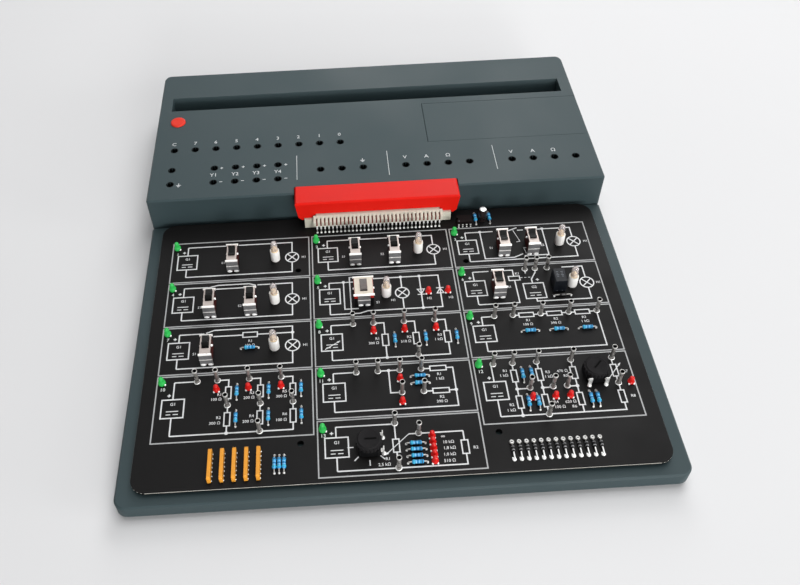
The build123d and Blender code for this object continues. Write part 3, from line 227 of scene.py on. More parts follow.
class Piece:
    """Faces gathered in millimetres, each with a material, then made into one object."""

    def __init__(self):
        self.points, self.faces, self.picks, self.looks = [], [], [], []
        self.place = Matrix()
        self.layers = itertools.count()

    def at(self, x=0, y=0, z=0, turn=0, tip=0, roll=0):
        """The same piece, seen from a place inside it: tip is about X, roll about Y, turn about Z."""
        view = copy.copy(self)
        angles = Euler([math.radians(a) for a in (tip, roll, turn)])
        view.place = self.place @ Matrix.Translation((x, y, z)) @ angles.to_matrix().to_4x4()
        return view

    def add(self, points, faces, name):
        start = len(self.points)
        self.points.extend(self.place @ Vector(p) for p in points)
        if name not in self.looks:
            self.looks.append(name)
        self.faces.extend([start + i for i in face] for face in faces)
        self.picks.extend([self.looks.index(name)] * len(faces))

    def lathe(self, profile, name, sides=20, hollow=False, flat=1):
        """A turned form through (radius, height) points, from the bottom of its outside."""
        points, rings = [], []
        for radius, height in profile:
            if radius:
                rings.append(list(range(len(points), len(points) + sides)))
                for k in range(sides):
                    angle = 2 * math.pi * k / sides
                    points.append((radius * math.cos(angle), flat * radius * math.sin(angle), height))
            else:
                rings.append([len(points)] * sides)
                points.append((0, 0, height))
        faces = []
        for low, high in list(zip(rings, rings[1:])) + ([(rings[-1], rings[0])] if hollow else []):
            for k in range(sides):
                n = (k + 1) % sides
                face = list(dict.fromkeys((low[k], low[n], high[n], high[k])))
                if len(face) > 2:
                    faces.append(face)
        if not hollow:
            ends = (rings[0][::-1], profile[0]), (rings[-1], profile[-1])
            faces += [ring for ring, spot in ends if spot[0]]
        self.add(points, faces, name)

    def box(self, x0, x1, y0, y1, z0, z1, name):
        points = [(x, y, z) for z in (z0, z1) for y in (y0, y1) for x in (x0, x1)]
        faces = [(0, 2, 3, 1), (4, 5, 7, 6), (0, 1, 5, 4), (2, 6, 7, 3), (0, 4, 6, 2), (1, 3, 7, 5)]
        self.add(points, faces, name)

    def slab(self, outline, low, high, name, along="z"):
        """An outline extruded along one axis. The outline's axes are the other two, in order."""
        order = {"z": (0, 1, 2), "y": (0, 2, 1), "x": (2, 0, 1)}[along]
        count = len(outline)
        points = []
        for level in (low, high):
            for a, b in outline:
                points.append([(a, b, level)[i] for i in order])
        faces = [list(range(count)), list(range(count, 2 * count))]
        faces += [[i, (i + 1) % count, count + (i + 1) % count, count + i] for i in range(count)]
        self.add(points, faces, name)

    def rod(self, path, radius, name, sides=8):
        """A bar bent along a path of points."""
        path = [Vector(p) for p in path]
        points, faces = [], []
        up = Vector((0.3, 0.5, 0.8))
        for i, spot in enumerate(path):
            near = path[max(0, i - 1):i + 2]
            ways = [(b - a).normalized() for a, b in zip(near, near[1:])]
            way = sum(ways, Vector()).normalized()
            reach = radius * (1 / max(0.5, way.dot(ways[0]))) ** 0.5
            across = way.cross(up).normalized()
            other = across.cross(way).normalized()
            for k in range(sides):
                angle = 2 * math.pi * k / sides
                points.append(spot + reach * (math.cos(angle) * across + math.sin(angle) * other))
        for i in range(len(path) - 1):
            for k in range(sides):
                n = (k + 1) % sides
                faces.append((i * sides + k, i * sides + n, (i + 1) * sides + n, (i + 1) * sides + k))
        faces += [list(range(sides))[::-1], list(range((len(path) - 1) * sides, len(path) * sides))]
        self.add(points, faces, name)

    def film(self):
        """The next print's thickness: each differs a little, so that crossing lines don't share a face."""
        return FILM + LAYER * (next(self.layers) % LAYERS)

    def strip(self, path, name, width=WIRE, closed=False, thick=None):
        """A flat printed line through (x, y) points."""
        path, thick = [Vector(p) for p in path], thick or self.film()
        count = len(path)
        left, right = [], []
        for i, spot in enumerate(path):
            before = (spot - path[i - 1]).normalized() if closed or i else None
            after = (path[(i + 1) % count] - spot).normalized() if closed or i < count - 1 else None
            before, after = before or after, after or before
            way = (before + after).normalized()
            side = Vector((-way.y, way.x))
            reach = width / 2 / max(0.3, side.dot(Vector((-after.y, after.x))))
            left.append(spot + side * reach)
            right.append(spot - side * reach)
        for i in range(count if closed else count - 1):
            n = (i + 1) % count
            self.slab([left[i], left[n], right[n], right[i]], 0, thick, name)

    def ring(self, radius, name, width):
        """A flat printed circle."""
        outer, inner, thick = radius + width / 2, radius - width / 2, self.film()
        self.lathe([(outer, 0), (outer, thick), (inner, thick), (inner, 0)], name, 32, hollow=True)

    def dot(self, radius, name):
        thick = self.film()
        self.lathe([(radius, 0), (radius, thick)], name, 16)

    def write(self, text, size, name, bold=0.015):
        """Flat printed letters, centred. size is the height of a capital."""
        curve = bpy.data.curves.new("letters", "FONT")
        curve.body = text
        curve.size = size / 0.73
        curve.extrude = FILM / 2
        curve.offset = size * bold
        curve.resolution_u = 2
        curve.align_x = "CENTER"
        curve.align_y = "CENTER"
        holder = bpy.data.objects.new("letters", curve)
        mesh = bpy.data.meshes.new_from_object(holder)
        shape = bmesh.new()
        shape.from_mesh(mesh)
        bmesh.ops.remove_doubles(shape, verts=shape.verts, dist=0.002)
        shape.verts.ensure_lookup_table()
        points = [(v.co.x, v.co.y, v.co.z + FILM / 2) for v in shape.verts]
        faces = [[v.index for v in face.verts] for face in shape.faces]
        shape.free()
        self.add(points, faces, name)
        bpy.data.objects.remove(holder)
        bpy.data.curves.remove(curve)
        bpy.data.meshes.remove(mesh)

    def done(self, name, slot, replaces=(), bevel=0, body="trainer_board"):
        """Makes the object, in metres."""
        mesh = bpy.data.meshes.new(name)
        mesh.from_pydata([p * MM for p in self.points], [], self.faces)
        for key in self.looks:
            mesh.materials.append(LOOKS[key])
        mesh.polygons.foreach_set("material_index", self.picks)
        shape = bmesh.new()
        shape.from_mesh(mesh)
        bmesh.ops.recalc_face_normals(shape, faces=shape.faces)
        shape.to_mesh(mesh)
        shape.free()
        mesh.polygons.foreach_set("use_smooth", [True] * len(mesh.polygons))
        mesh.set_sharp_from_angle(angle=SHARP)
        thing = new_object(name, mesh)
        if bevel:
            round_edges(thing, bevel)
        if replaces:
            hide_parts(*replaces)
        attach(thing, body)
        return thing


def round_edges(thing, width, segments=2):
    """Rounds an object's sharp edges with a modifier."""
    modifier = thing.modifiers.new("rounded edges", "BEVEL")
    modifier.width = width * MM
    modifier.segments = segments
    modifier.limit_method = "ANGLE"
    modifier.angle_limit = SHARP
    modifier.harden_normals = True
    modifier.use_clamp_overlap = True


def kept(name, material, bevel=0, segments=2):
    """A CAD shape that stays, with a better material and rounded edges."""
    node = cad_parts[name]
    for slot in node.material_slots:
        slot.material = LOOKS[material]
    if bevel:
        weld = node.modifiers.new("weld", "WELD")
        weld.merge_threshold = 0.001 * MM
        round_edges(node, bevel, segments)


def solids(name):
    """The box of each separate solid of a CAD node, in millimetres: x0, y0, z0, x1, y1, z1."""
    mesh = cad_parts[name].data
    keys, ids = {}, []
    for vertex in mesh.vertices:
        ids.append(keys.setdefault(tuple(round(c * 1e5) for c in vertex.co), len(keys)))
    parent = list(range(len(keys)))

    def root(i):
        while parent[i] != i:
            parent[i] = parent[parent[i]]
            i = parent[i]
        return i

    for face in mesh.polygons:
        first = root(ids[face.vertices[0]])
        for i in face.vertices[1:]:
            parent[root(ids[i])] = first
    boxes = {}
    for key, i in keys.items():
        spot = [c / 100 for c in key]
        low, high = boxes.setdefault(root(i), (list(spot), list(spot)))
        for axis in range(3):
            low[axis] = min(low[axis], spot[axis])
            high[axis] = max(high[axis], spot[axis])
    return sorted((*low, *high) for low, high in boxes.values())


def middles(name):
    """The middle of each solid of a CAD node, from above, and whether it lies along Y."""
    return [((b[0] + b[3]) / 2, (b[1] + b[4]) / 2, b[4] - b[1] > b[3] - b[0]) for b in solids(name)]


# CAD shapes that stay

kept("bottom_plate", "case", 0.3)
kept("rubber_feet", "foot", 0.4)
kept("front_deck", "case", 0.5, 3)
kept("rear_cover", "case", 0.5, 3)
kept("extension_bay", "case", 0.2)
kept("extension_cover", "case", 0.35)
kept("main_circuit_board", "inner_board", 0.1)
kept("button_switch", "socket", 0.2)
kept("power_inlet", "socket", 0.2)
kept("data_socket", "shell_metal", 0.15)
kept("connector_block", "block", 0.9, 4)
kept("master_connector", "beige", 0.2)
kept("trainer_pcb", "laminate", 0.2)
kept("board_pads", "foot", 0.3)
kept("board_connector", "beige", 0.15)


# Measuring posts and lights

posts = Piece()
for x, y, _ in middles("test_posts"):
    post = posts.at(x, y, BOARD_TOP)
    # near-black painted shade in the gap round the foot and in the bore of the head; the solder collar is
    # near-white with a painted glow: painted highlight
    post.lathe([(1.38, 0), (1.38, 0.03), (0, 0.03)], "painted_recess_shade", 16)
    post.lathe([(1.85, 0), (1.85, 0.25), (1.62, 0.5), (1.4, 0.25), (1.38, 0)], "solder", hollow=True)
    post.lathe([(1.12, 0.02), (1.12, 3), (1.08, 9.2), (0, 9.2)], "post", 18)
    post.lathe([(1, 9.1), (1.35, 9.5), (1.5, 10.2), (1.46, 10.62), (1.32, 10.76), (1.16, 10.6),
                (1.06, 9.3), (1, 9.2)], "ring", hollow=True)
    post.lathe([(1.05, 9.22), (1.13, 10.45), (1.08, 10.45), (1, 9.3), (0, 9.3)], "painted_recess_shade", 16)
posts.done("measuring_posts", "post_metal", ["test_posts"])

# colour: outline of the lens, and where its solder shows
LENSES = {
    "red": ([(1.75, 0.15), (1.88, 0.4), (1.86, 1.1), (1.6, 1.45), (1.4, 1.8), (1.37, 3.5), (1.22, 4.2),
             (0.85, 4.65), (0.4, 4.8), (0, 4.82)], [(-1.35, -1.4), (1.35, -1.4)]),
    "green": ([(2, 0.15), (2.1, 0.45), (2.06, 1.7), (1.85, 2.15), (1.5, 2.35), (1.42, 2.7), (1.4, 4.5),
               (1.24, 5.2), (0.85, 5.65), (0.4, 5.8), (0, 5.82)], [(1.75, -1.1)]),
}
for colour, (outline, feet) in LENSES.items():
    lights = Piece()
    for x, y, _ in middles(f"{colour}_leds"):
        light = lights.at(x, y, BOARD_TOP)
        light.lathe(outline, f"{colour}_lens", 24)
        for foot in feet:
            # solder dots near-white with a painted glow: painted highlight where the legs' solder catches
            # the light
            light.at(*foot).lathe([(0.55, 0), (0.6, 0.35), (0.45, 0.75), (0, 0.95)], "solder", 12)
    lights.done(f"{colour}_lights", f"{colour}_lens", [f"{colour}_leds"])

holders, bulbs = Piece(), Piece()
for x, y, _ in middles("lamp_holders"):
    lamp = holders.at(x, y, BOARD_TOP)
    lamp.lathe([(2.8, 0), (2.92, 0.25), (2.92, 7.6), (2.75, 7.95), (2.4, 7.95), (2.2, 7.7), (2.2, 4.6),
                (0, 4.6)], "white_plastic", 32)
for x, y, _ in middles("lamp_bulbs"):
    lamp = bulbs.at(x, y, BOARD_TOP)
    lamp.lathe([(1.9, 4.65), (2, 4.9), (2, 8.3), (1.7, 9), (1.45, 10.2), (1.1, 10.9), (0.5, 11.2),
                (0, 11.25)], "gold_seat", 28)
    outer = [(2.04, 8.2), (2.12, 9), (2.12, 12.6), (1.98, 13.9), (1.6, 15), (0.95, 15.6), (0.35, 15.85)]
    inner = [(r * 0.9, z - 0.18) for r, z in outer[::-1][:-2]] + [(2.01, 9), (2.01, 8.2)]
    lamp.lathe(outer + inner, "glass", 28, hollow=True)
    lamp.lathe([(0.35, 15.6), (0.35, 15.9), (0.2, 16.1), (0, 16.15)], "glass", 12)
    for side in (-1, 1):
        lamp.rod([(side * 0.7, 0, 10.8), (side * 0.9, 0, 12.8)], 0.12, "filament", 6)
    lamp.rod([(-0.9, 0, 12.7), (-0.3, 0, 13.1), (0.3, 0, 13.1), (0.9, 0, 12.7)], 0.16, "filament", 6)
holders.done("lamp_tubes", "lamp_white", ["lamp_holders"])
bulbs.done("lamps", "lamp_glass", ["lamp_bulbs"])


# Axial parts

LEAD = 0.36
AXIS_LIFT = 1.5
LEAD_HALF = 5.08


def leads(spot, body_half, lift):
    """Two leads that leave the body, bend, and end in solder on the board."""
    for side in (-1, 1):
        spot.rod([(side * (body_half - 0.3), 0, lift), (side * (LEAD_HALF - 0.9), 0, lift),
                  (side * (LEAD_HALF - 0.35), 0, lift - 0.25), (side * LEAD_HALF, 0, lift - 0.8),
                  (side * LEAD_HALF, 0, 0.1)], LEAD, "lead")
        spot.at(side * LEAD_HALF).lathe([(0.6, 0), (0.62, 0.35), (0.45, 0.8), (0, 0.95)], "solder", 12)


def barrel(spot, half, radius, waist, name, lift, bands):
    """A dumbbell-shaped body along X with painted bands at (place, width, material)."""
    turned = spot.at(z=lift, roll=90)
    side = [(0.4, half), (radius * 0.6, half - 0.1), (radius * 0.88, half - 0.4), (radius, half - 0.85),
            (radius, half - 1.3), (waist, half - 1.8)]
    turned.lathe([(r, -z) for r, z in side] + side[::-1], name, 20)
    for place, width, paint in bands:
        wide = (radius if abs(place) > half - 1.5 else waist) + 0.03
        low, high = -width / 2, width / 2
        turned.at(z=place).lathe([(wide - 0.2, low), (wide, low), (wide, high), (wide - 0.2, high)],
                                 paint, hollow=True)


RESISTOR_BANDS = [(-2.1, 0.45, "band_teal"), (-1.05, 0.4, "band_pale"), (-0.15, 0.4, "band_dark"),
                  (0.75, 0.4, "band_pale"), (2.1, 0.45, "band_brown")]
resistors = Piece()
for x, y, upright in middles("resistors"):
    spot = resistors.at(x, y, BOARD_TOP, turn=90 if upright else 0)
    leads(spot, 3.15, AXIS_LIFT)
    barrel(spot, 3.15, 1.15, 0.95, "blue_body", AXIS_LIFT, RESISTOR_BANDS)
resistors.done("resistors_banded", "resistor_blue", ["resistors"])

DIODE_LIFT = 1.3
diodes = Piece()
for x, y, _ in middles("diodes"):
    spot = diodes.at(x, y, BOARD_TOP, turn=90)
    # front lead and feet in near-white glowing solder, and a bright ring on the rear lead's bend: painted
    # highlights; a grey upright lead under the ring
    spot.rod([(0, 0, DIODE_LIFT), (LEAD_HALF - 0.6, 0, DIODE_LIFT)], LEAD, "filament")
    spot.rod([(-1.2, 0, DIODE_LIFT), (-LEAD_HALF + 0.5, 0, DIODE_LIFT), (-LEAD_HALF, 0, DIODE_LIFT - 0.5),
              (-LEAD_HALF, 0, 0)], 0.4, "solder")
    spot.at(0.2 - LEAD_HALF, 0.15).lathe([(1.1, 0), (1.1, 0.4), (0.7, 0.8), (0, 0.95)], "solder", 14)
    spot.at(0.95 - LEAD_HALF, 0.85).lathe([(0.38, 0), (0.4, 0.5), (0.2, 0.75), (0, 0.8)], "solder", 10)
    spot.at(LEAD_HALF - 0.35, 0, DIODE_LIFT - 0.1).lathe(
        [(1.18, -0.4), (1.22, 0.1), (1, 0.45), (0.55, 0.55), (0.42, 0.3), (0.42, -0.4)],
        "ring", 18, hollow=True)
    spot.at(LEAD_HALF - 0.35).lathe([(0.42, 0), (0.42, DIODE_LIFT + 0.1), (0, DIODE_LIFT + 0.1)],
                                   "faint_print", 12)
    barrel(spot.at(0.8), 2.05, 0.86, 0.84, "diode_black", DIODE_LIFT,
           [(-1, 0.55, "band_grey"), (0.9, 0.35, "band_grey")])
diodes.done("diode_row", "diode_black", ["diodes"])

coil_diode = Piece()
for x, y, _ in middles("relay_diode"):
    spot = coil_diode.at(x, y, BOARD_TOP)
    leads(spot, 2.05, DIODE_LIFT)
    barrel(spot, 2.05, 0.86, 0.82, "diode_glass", DIODE_LIFT, [(-1.2, 0.6, "diode_black")])
coil_diode.done("coil_diode", "diode_glass", ["relay_diode"])

NETWORK_PINS = 7
networks = Piece()
for x, y, _ in middles("resistor_networks"):
    spot = networks.at(x, y, BOARD_TOP)
    half, top, cut = 8.9, 4.9, 0.9
    spot.slab([(-half, 0.5), (half, 0.5), (half, top - cut), (half - cut, top), (-half + cut, top),
               (-half, top - cut)], -0.95, 0.95, "network", along="x")
    # a dark orange stripe on one side face: painted shade
    spot.box(-1.15, -0.9, -half + 0.3, half - 0.3, 0.5, top - 0.7, "network_painted_shade")
    for k in range(NETWORK_PINS):
        y1 = (k - (NETWORK_PINS - 1) / 2) * 2.54
        spot.box(-0.25, 0.25, y1 - 0.25, y1 + 0.25, 0, 0.6, "pin")
        spot.at(0.95, y1, 0.3).lathe([(0.32, -0.3), (0.34, 0.1), (0.2, 0.35), (0, 0.4)], "solder", 8)
networks.done("networks", "network_orange", ["resistor_networks"], 0.18)


# Relay, chip and capacitor

x0, y0, _, x1, y1, z1 = solids("relay")[0]
relay = Piece()
spot = relay.at((x0 + x1) / 2, (y0 + y1) / 2, BOARD_TOP)
hx, hy, hz = (x1 - x0) / 2, (y1 - y0) / 2, z1 - BOARD_TOP
spot.slab([(-hx, 0.5), (hx, 0.5), (hx, hz - 0.6), (hx - 0.6, hz), (-hx + 0.6, hz), (-hx, hz - 0.6)],
          -hy, hy, "relay", along="y")
spot.box(-hx + 0.35, hx - 0.35, -hy + 0.35, hy - 0.35, 0, 0.6, "relay")
for side in (-1, 1):
    for k in range(4):
        spot.rod([(side * 2.54, -3.8 + 2.54 * k, 0), (side * 2.54, -3.8 + 2.54 * k, 0.8)], 0.3, "pin", 6)
for k, wide in enumerate((1.4, 0.9, 1.7, 1.1)):
    for side in (-1, 1):
        spot.at(side * 1.4, 2.4 - 1.2 * k, hz).strip([(-wide / 2, 0), (wide / 2, 0)], "faint_print", 0.45)
for side in (-1, 1):
    spot.at(side * 1.6, 0.02 - hy, 1.6, tip=90).lathe([(0.35, -0.02), (0.35, 0.06), (0, 0.06)],
                                                      "faint_print", 10)
relay.done("coil_relay", "relay_black", ["relay"], 0.2)

x, y, _ = middles("control_chip")[0]
chip = Piece()
spot = chip.at(x, y, BOARD_TOP)
turns = [math.radians(angle) for angle in range(0, 181, 20)]
notch = [(0.8 * math.sin(a) - 4.8, 0.8 * math.cos(a)) for a in turns]
spot.slab([(-4.8, 3.2), *notch, (-4.8, -3.2), (4.8, -3.2), (4.8, 3.2)], 2.1, 3.78, "chip")
spot.box(-4.8, 4.8, -3.2, 3.2, 0.5, 2.1, "chip")
spot.at(-3.6, -2.2, 3.76).lathe([(0.4, 0), (0.4, 0.04), (0, 0.04)], "faint_print", 12)
for k in range(4):
    x = (k - 1.5) * 2.54
    for side in (-1, 1):
        # a near-white glowing patch on each lead's shoulder: painted highlight
        spot.box(x - 0.5, x + 0.5, side * 3.45 - 0.25, side * 3.45 + 0.25, 1.3, 1.75, "solder")
        spot.box(x - 0.25, x + 0.25, side * 3.6 - 0.12, side * 3.6 + 0.12, 0, 1.4, "lead")
        spot.at(x, side * 3.85).lathe([(0.5, 0), (0.45, 0.2), (0.25, 0.38), (0, 0.42)], "solder", 12)
chip.done("small_chip", "chip_black", ["control_chip"], 0.1)

x, y, _ = middles("supply_capacitor")[0]
can = Piece()
spot = can.at(x, y, BOARD_TOP)
spot.lathe([(2.35, 0), (2.48, 0.3), (2.48, 0.9), (2.34, 1.2), (2.34, 1.6), (2.48, 1.9), (2.48, 8.9),
            (2.36, 9.25), (1.9, 9.3), (0, 9.3)], "sleeve", 32)
spot.lathe([(1.9, 9.2), (2.2, 9.35), (2.15, 9.65), (1.6, 9.9), (0, 9.98)], "can_top", 32)
spot.box(2.4, 2.49, -0.5, 0.5, 2.4, 8.4, "band_grey")
can.done("capacitor", "can_sleeve", ["supply_capacitor"])


# Rocker switches

SWITCH_TOP = 10.4
SHEET = 0.8
BEND = 1
PIVOT = 7.3
TILT = 13
FRONT_DOWN = ("rocker_1", "rocker_3_left", "rocker_3_right", "rocker_6")
# base and housing colour the housing's lower and upper parts: on the small switches both are red plastic
# painted in shade, and the large switch's red lower part is painted black as shade
SMALL = dict(rail=6.1, skirt=7.3, flange=7.5, body=5.9, front=8.7, rear=5.8, hole=8.2, reach=3.8, proud=0.9,
             base="switch_red_painted_shade", housing="switch_red_painted_shade", metal="steel", rocker="rocker")
LARGE = dict(rail=11, skirt=7.4, flange=12.6, body=11.6, front=7.9, rear=7, hole=9.6, reach=6.5, proud=0,
             base="pot", housing="switch_red", metal="cream", rocker="grey_rocker")
HOLE_HALF = 2.15
SADDLE = 3.5

frames, housings = Piece(), Piece()
pivots = []
for x0, y0, _, x1, _, _ in solids("switch_frames"):
    form = LARGE if x1 - x0 > 10 else SMALL
    metal, red = form["metal"], form["housing"]
    rail, half, front, rear = form["rail"] / 2, form["skirt"] / 2, form["front"], form["rear"]
    bar, low = form["hole"] / 2, SWITCH_TOP - SHEET
    spot = frames.at((x0 + x1) / 2, y0 + front, BOARD_TOP)
    pivots.append(((x0 + x1) / 2, y0 + front, form))
    # plate in front of the rocker, rails beside it and the bar behind it
    spot.box(-rail, rail, BEND - front, -bar, low, SWITCH_TOP, metal)
    for side in (-1, 1):
        spot.box(side * HOLE_HALF, side * rail, -bar, rear, low, SWITCH_TOP, metal)
    spot.box(-HOLE_HALF, HOLE_HALF, bar, rear, low, SWITCH_TOP, metal)
    # rounded bend, wider than the plate, over a skirt with two feet; bend, rear bar, skirt strip and feet
    # are near-white and glow: painted highlights
    wide = form["flange"] / 2
    turns = [math.radians(a) for a in range(0, 91, 15)]
    outer = [(BEND - front - BEND * math.sin(a), SWITCH_TOP - BEND + BEND * math.cos(a)) for a in turns]
    inner = [(BEND - front - 0.3 * math.sin(a), SWITCH_TOP - BEND + 0.3 * math.cos(a)) for a in turns[::-1]]
    spot.slab(outer + inner, -wide, wide, "flange", along="x")
    spot.box(-wide, wide, rear - 0.9, rear, low - 0.4, SWITCH_TOP + 0.02, "flange")
    spot.box(-half, half, 0.35 - front, 0.85 - front, 1.5, SWITCH_TOP - BEND, "skirt")
    spot.box(-half, half, 0.15 - front, 0.4 - front, 4.9, 5.4, "flange")
    for side in (-1, 1):
        spot.box(side * 0.5, side * half, 0.35 - front, 0.85 - front, 0.4, 1.5, "skirt")
        spot.at(side * 2.05, 0.75 - front).lathe([(1.6, 0), (1.7, 0.4), (1.55, 1.1), (1.05, 1.6), (0, 1.8)],
                                                 "foot_solder", 16, flat=0.43)
    spot.at(0, 0.3 - front, 5.2, tip=90).lathe([(0.9, -0.05), (0.8, 0.12), (0.4, 0.06), (0, 0.12)], "skirt")
    # housing: walls either side with a slot for the axle, floor and ends; the lower walls, floor and ends
    # are painted shade over the red plastic (black on the large switch, dark maroon on the small ones), and
    # on the small switches the upper walls too
    spot = housings.at((x0 + x1) / 2, y0 + front, BOARD_TOP)
    for side in (-1, 1):
        a, b = sorted((side * HOLE_HALF, side * form["body"] / 2))
        spot.box(a, b, -front + 0.9, rear - 0.95, 0, 6.3, form["base"])
        spot.box(a, b, -front + 0.9, -0.95, 6.3, low, red)
        spot.box(a, b, 0.95, rear - 0.95, 6.3, low, red)
    spot.box(-HOLE_HALF, HOLE_HALF, -front + 0.9, rear - 0.95, 0, 4.9, form["base"])
    spot.box(-HOLE_HALF, HOLE_HALF, -front + 0.9, -bar, 4.9, low, form["base"])
    spot.box(-HOLE_HALF, HOLE_HALF, bar, rear - 0.95, 4.9, low, form["base"])
frames.done("switch_plates", "frame_steel", ["switch_frames"], 0.12)
housings.done("switch_housings", "switch_red", ["switch_bodies"], 0.12)

for name in [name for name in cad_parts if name.startswith("rocker_")]:
    low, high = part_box(name)
    middle = ((low[0] + high[0]) / 2 / MM, (low[1] + high[1]) / 2 / MM)
    x, y, form = min(pivots, key=lambda p: math.hypot(p[0] - middle[0], p[1] - middle[1]))
    lean = math.radians(TILT)
    tip = (form["hole"] / 2 - 0.1 - SADDLE * math.sin(lean)) * math.cos(lean)
    crest = SADDLE + tip * math.tan(lean)
    proud, reach = form["proud"], form["reach"]
    rocker = Piece()
    spot = rocker.at(x, y, BOARD_TOP + PIVOT, tip=TILT if name in FRONT_DOWN else -TILT)
    half = [(0.5, SADDLE + 0.05), (tip - 1.4, crest + proud * 0.4), (tip, crest + proud), (tip, 0.2),
            (tip * 0.4, -1.9)]
    spot.slab([(0, SADDLE)] + half + [(-y, z) for y, z in half[::-1]], -2, 2, form["rocker"], along="x")
    for end in (-1, 1):
        for k in range(3):
            y_rib = end * (tip - 0.5 - 0.6 * k)
            z_rib = SADDLE + abs(y_rib) * math.tan(lean) + (proud * 0.8, proud * 0.5, 0.1)[k] * (proud > 0)
            spot.at(0, y_rib, z_rib, roll=90).lathe([(0.12, -1.6), (0.12, 1.6)], form["rocker"], 8)
    # axle ends in near-white glowing solder: painted highlight on the pivot pins
    axle = [(0.72, reach - 0.5), (0.62, reach - 0.12), (0.3, reach)]
    spot.at(roll=90).lathe([(r, -z) for r, z in axle[::-1]] + axle, "solder", 14)
    rocker.done(f"{name}_detailed", "rocker_black", [name], 0.15, name)


# Potentiometers and thumb wheels

def wheel_outline(radius, depth, flutes, steps):
    """Outline of a fluted wheel, with round scallops."""
    outline = []
    for k in range(flutes * steps):
        angle = 2 * math.pi * k / (flutes * steps)
        wave = abs(math.sin(flutes * angle / 2)) ** 0.6
        r = radius - depth * (1 - wave)
        outline.append((r * math.cos(angle), r * math.sin(angle)))
    return outline


# middle, the way the pointer shows, and the way the legs point
POTS = {
    "12": (GRID_X + 2 * COLUMN + 65.9, GRID_Y - 3 * ROW - 14, 45, -90),
    "13": (GRID_X + COLUMN + 26.9, GRID_Y - 4 * ROW - 16.8, 0, 0),
}
for number, (x, y, pointer, legs) in POTS.items():
    pot = Piece()
    spot = pot.at(x, y, BOARD_TOP)
    spot.slab([(-6, -4.5), (-4.5, -6), (4.5, -6), (6, -4.5), (6, 4.5), (4.5, 6), (-4.5, 6), (-6, 4.5)],
              0, 4.4, "pot")
    spot.lathe([(2.2, 4.4), (2.2, 4.58), (0, 4.58)], "pot", 24)
    for side in (-1, 1):
        leg = pot.at(x, y, BOARD_TOP, turn=legs).at(7.1, side * 4.6)
        leg.box(0, 0.55, -1.05, 1.05, 0.2, 6.3, "ring")
        leg.box(-1.2, 0.55, -1.05, 1.05, 3.4, 4, "ring")
        leg.at(0.5).lathe([(1.2, 0), (1.15, 0.4), (0.7, 0.9), (0, 1.05)], "solder", 14)
    pot.done(f"potentiometer_body_{number}", "pot_black", [f"potentiometer_{number}"], 0.2)

    wheel = Piece()
    spot = wheel.at(x, y, BOARD_TOP, turn=pointer)
    spot.slab(wheel_outline(6.9, 0.6, 20, 8), 4.8, 7.5, "knob")
    spot.lathe([(6.25, 7.4), (5.75, 8.05), (5.5, 8.18), (5.2, 8.12), (4.9, 8.02), (0, 8)], "knob", 64)
    spot.lathe([(1.98, 2.7), (1.98, 4.9), (0, 4.9)], "knob", 24)
    # pointer line: a near-black strip in a thin rim, painted shade standing for a groove
    spot.box(-2.3, 4, -0.5, 0.5, 8, 8.02, "painted_recess_shade")
    spot.at(z=8).strip([(-2.3, 0.55), (4, 0.55), (4, -0.55), (-2.3, -0.55)], "knob", 0.12, True, 0.12)
    wheel.done(f"thumb_wheel_{number}", "knob_black", [f"knob_{number}"], 0.15, f"knob_{number}")


# Connector pins, button, lead sockets

pins = Piece()
for x, y, _ in middles("board_connector_pins"):
    spot = pins.at(x, 0, BOARD_TOP)
    spot.slab([(20.1, 7.9), (20.1, 7.6), (15.9, 6.4), (15.75, 5.6), (15.5, 5.6), (15.6, 6.8)],
              -0.45, 0.45, "bronze", along="x")
    spot.rod([(0, 16.7, 7.7), (0, 16, 7.5), (0, 15.7, 6.9), (0, 15.4, 5.7)], 0.33, "bronze")
    # a thick near-white glowing piece over each pin's bend: painted highlight
    spot.rod([(0, 15.45, 5.6), (0, 15.2, 5), (0, 15.05, 3.4)], 0.5, "solder")
    spot.rod([(0, 15.05, 3.6), (0, 15.05, 0.1)], 0.27, "lead")
    spot.at(0, 15).lathe([(0.75, 0), (0.68, 0.35), (0.4, 0.8), (0, 0.9)], "solder", 12)
pins.done("connector_pins", "pin_metal", ["board_connector_pins"])

# solid upper part of the comb, and ribs a little wider than the plain ones
COMB_REAR, COMB_BACK, COMB_FRONT, RIB_HALF = 20, 18.8, 15.46, 0.82
comb = Piece()
slots = sorted({round(x, 3) for x, _, _ in middles("board_connector_pins")})
pitch = (slots[-1] - slots[0]) / (len(slots) - 1)
edges = [slots[0] - pitch / 2 + pitch * k for k in range(len(slots) + 1)]
low, high, mid = BOARD_TOP + 5.45, BOARD_TOP + 10.52, BOARD_TOP + 8.52
comb.slab([(COMB_REAR, high - 1.6), (COMB_REAR, high), (COMB_BACK, high - 0.5), (COMB_BACK, high - 1.6)],
          edges[0] - RIB_HALF, edges[-1] + RIB_HALF, "beige", along="x")
for x in edges:
    comb.slab([(COMB_REAR, low), (COMB_REAR, high - 0.2), (COMB_FRONT - 0.02, mid - 0.02),
               (COMB_FRONT - 0.02, low)], x - RIB_HALF, x + RIB_HALF, "beige", along="x")
    comb.slab([(COMB_REAR, high - 0.3), (COMB_REAR, high + 0.02), (COMB_FRONT - 0.05, mid + 0.02),
               (COMB_FRONT - 0.05, mid - 0.3)], x - 0.45, x + 0.45, "beige", along="x")
comb.done("connector_comb", "connector_beige", bevel=0.1)

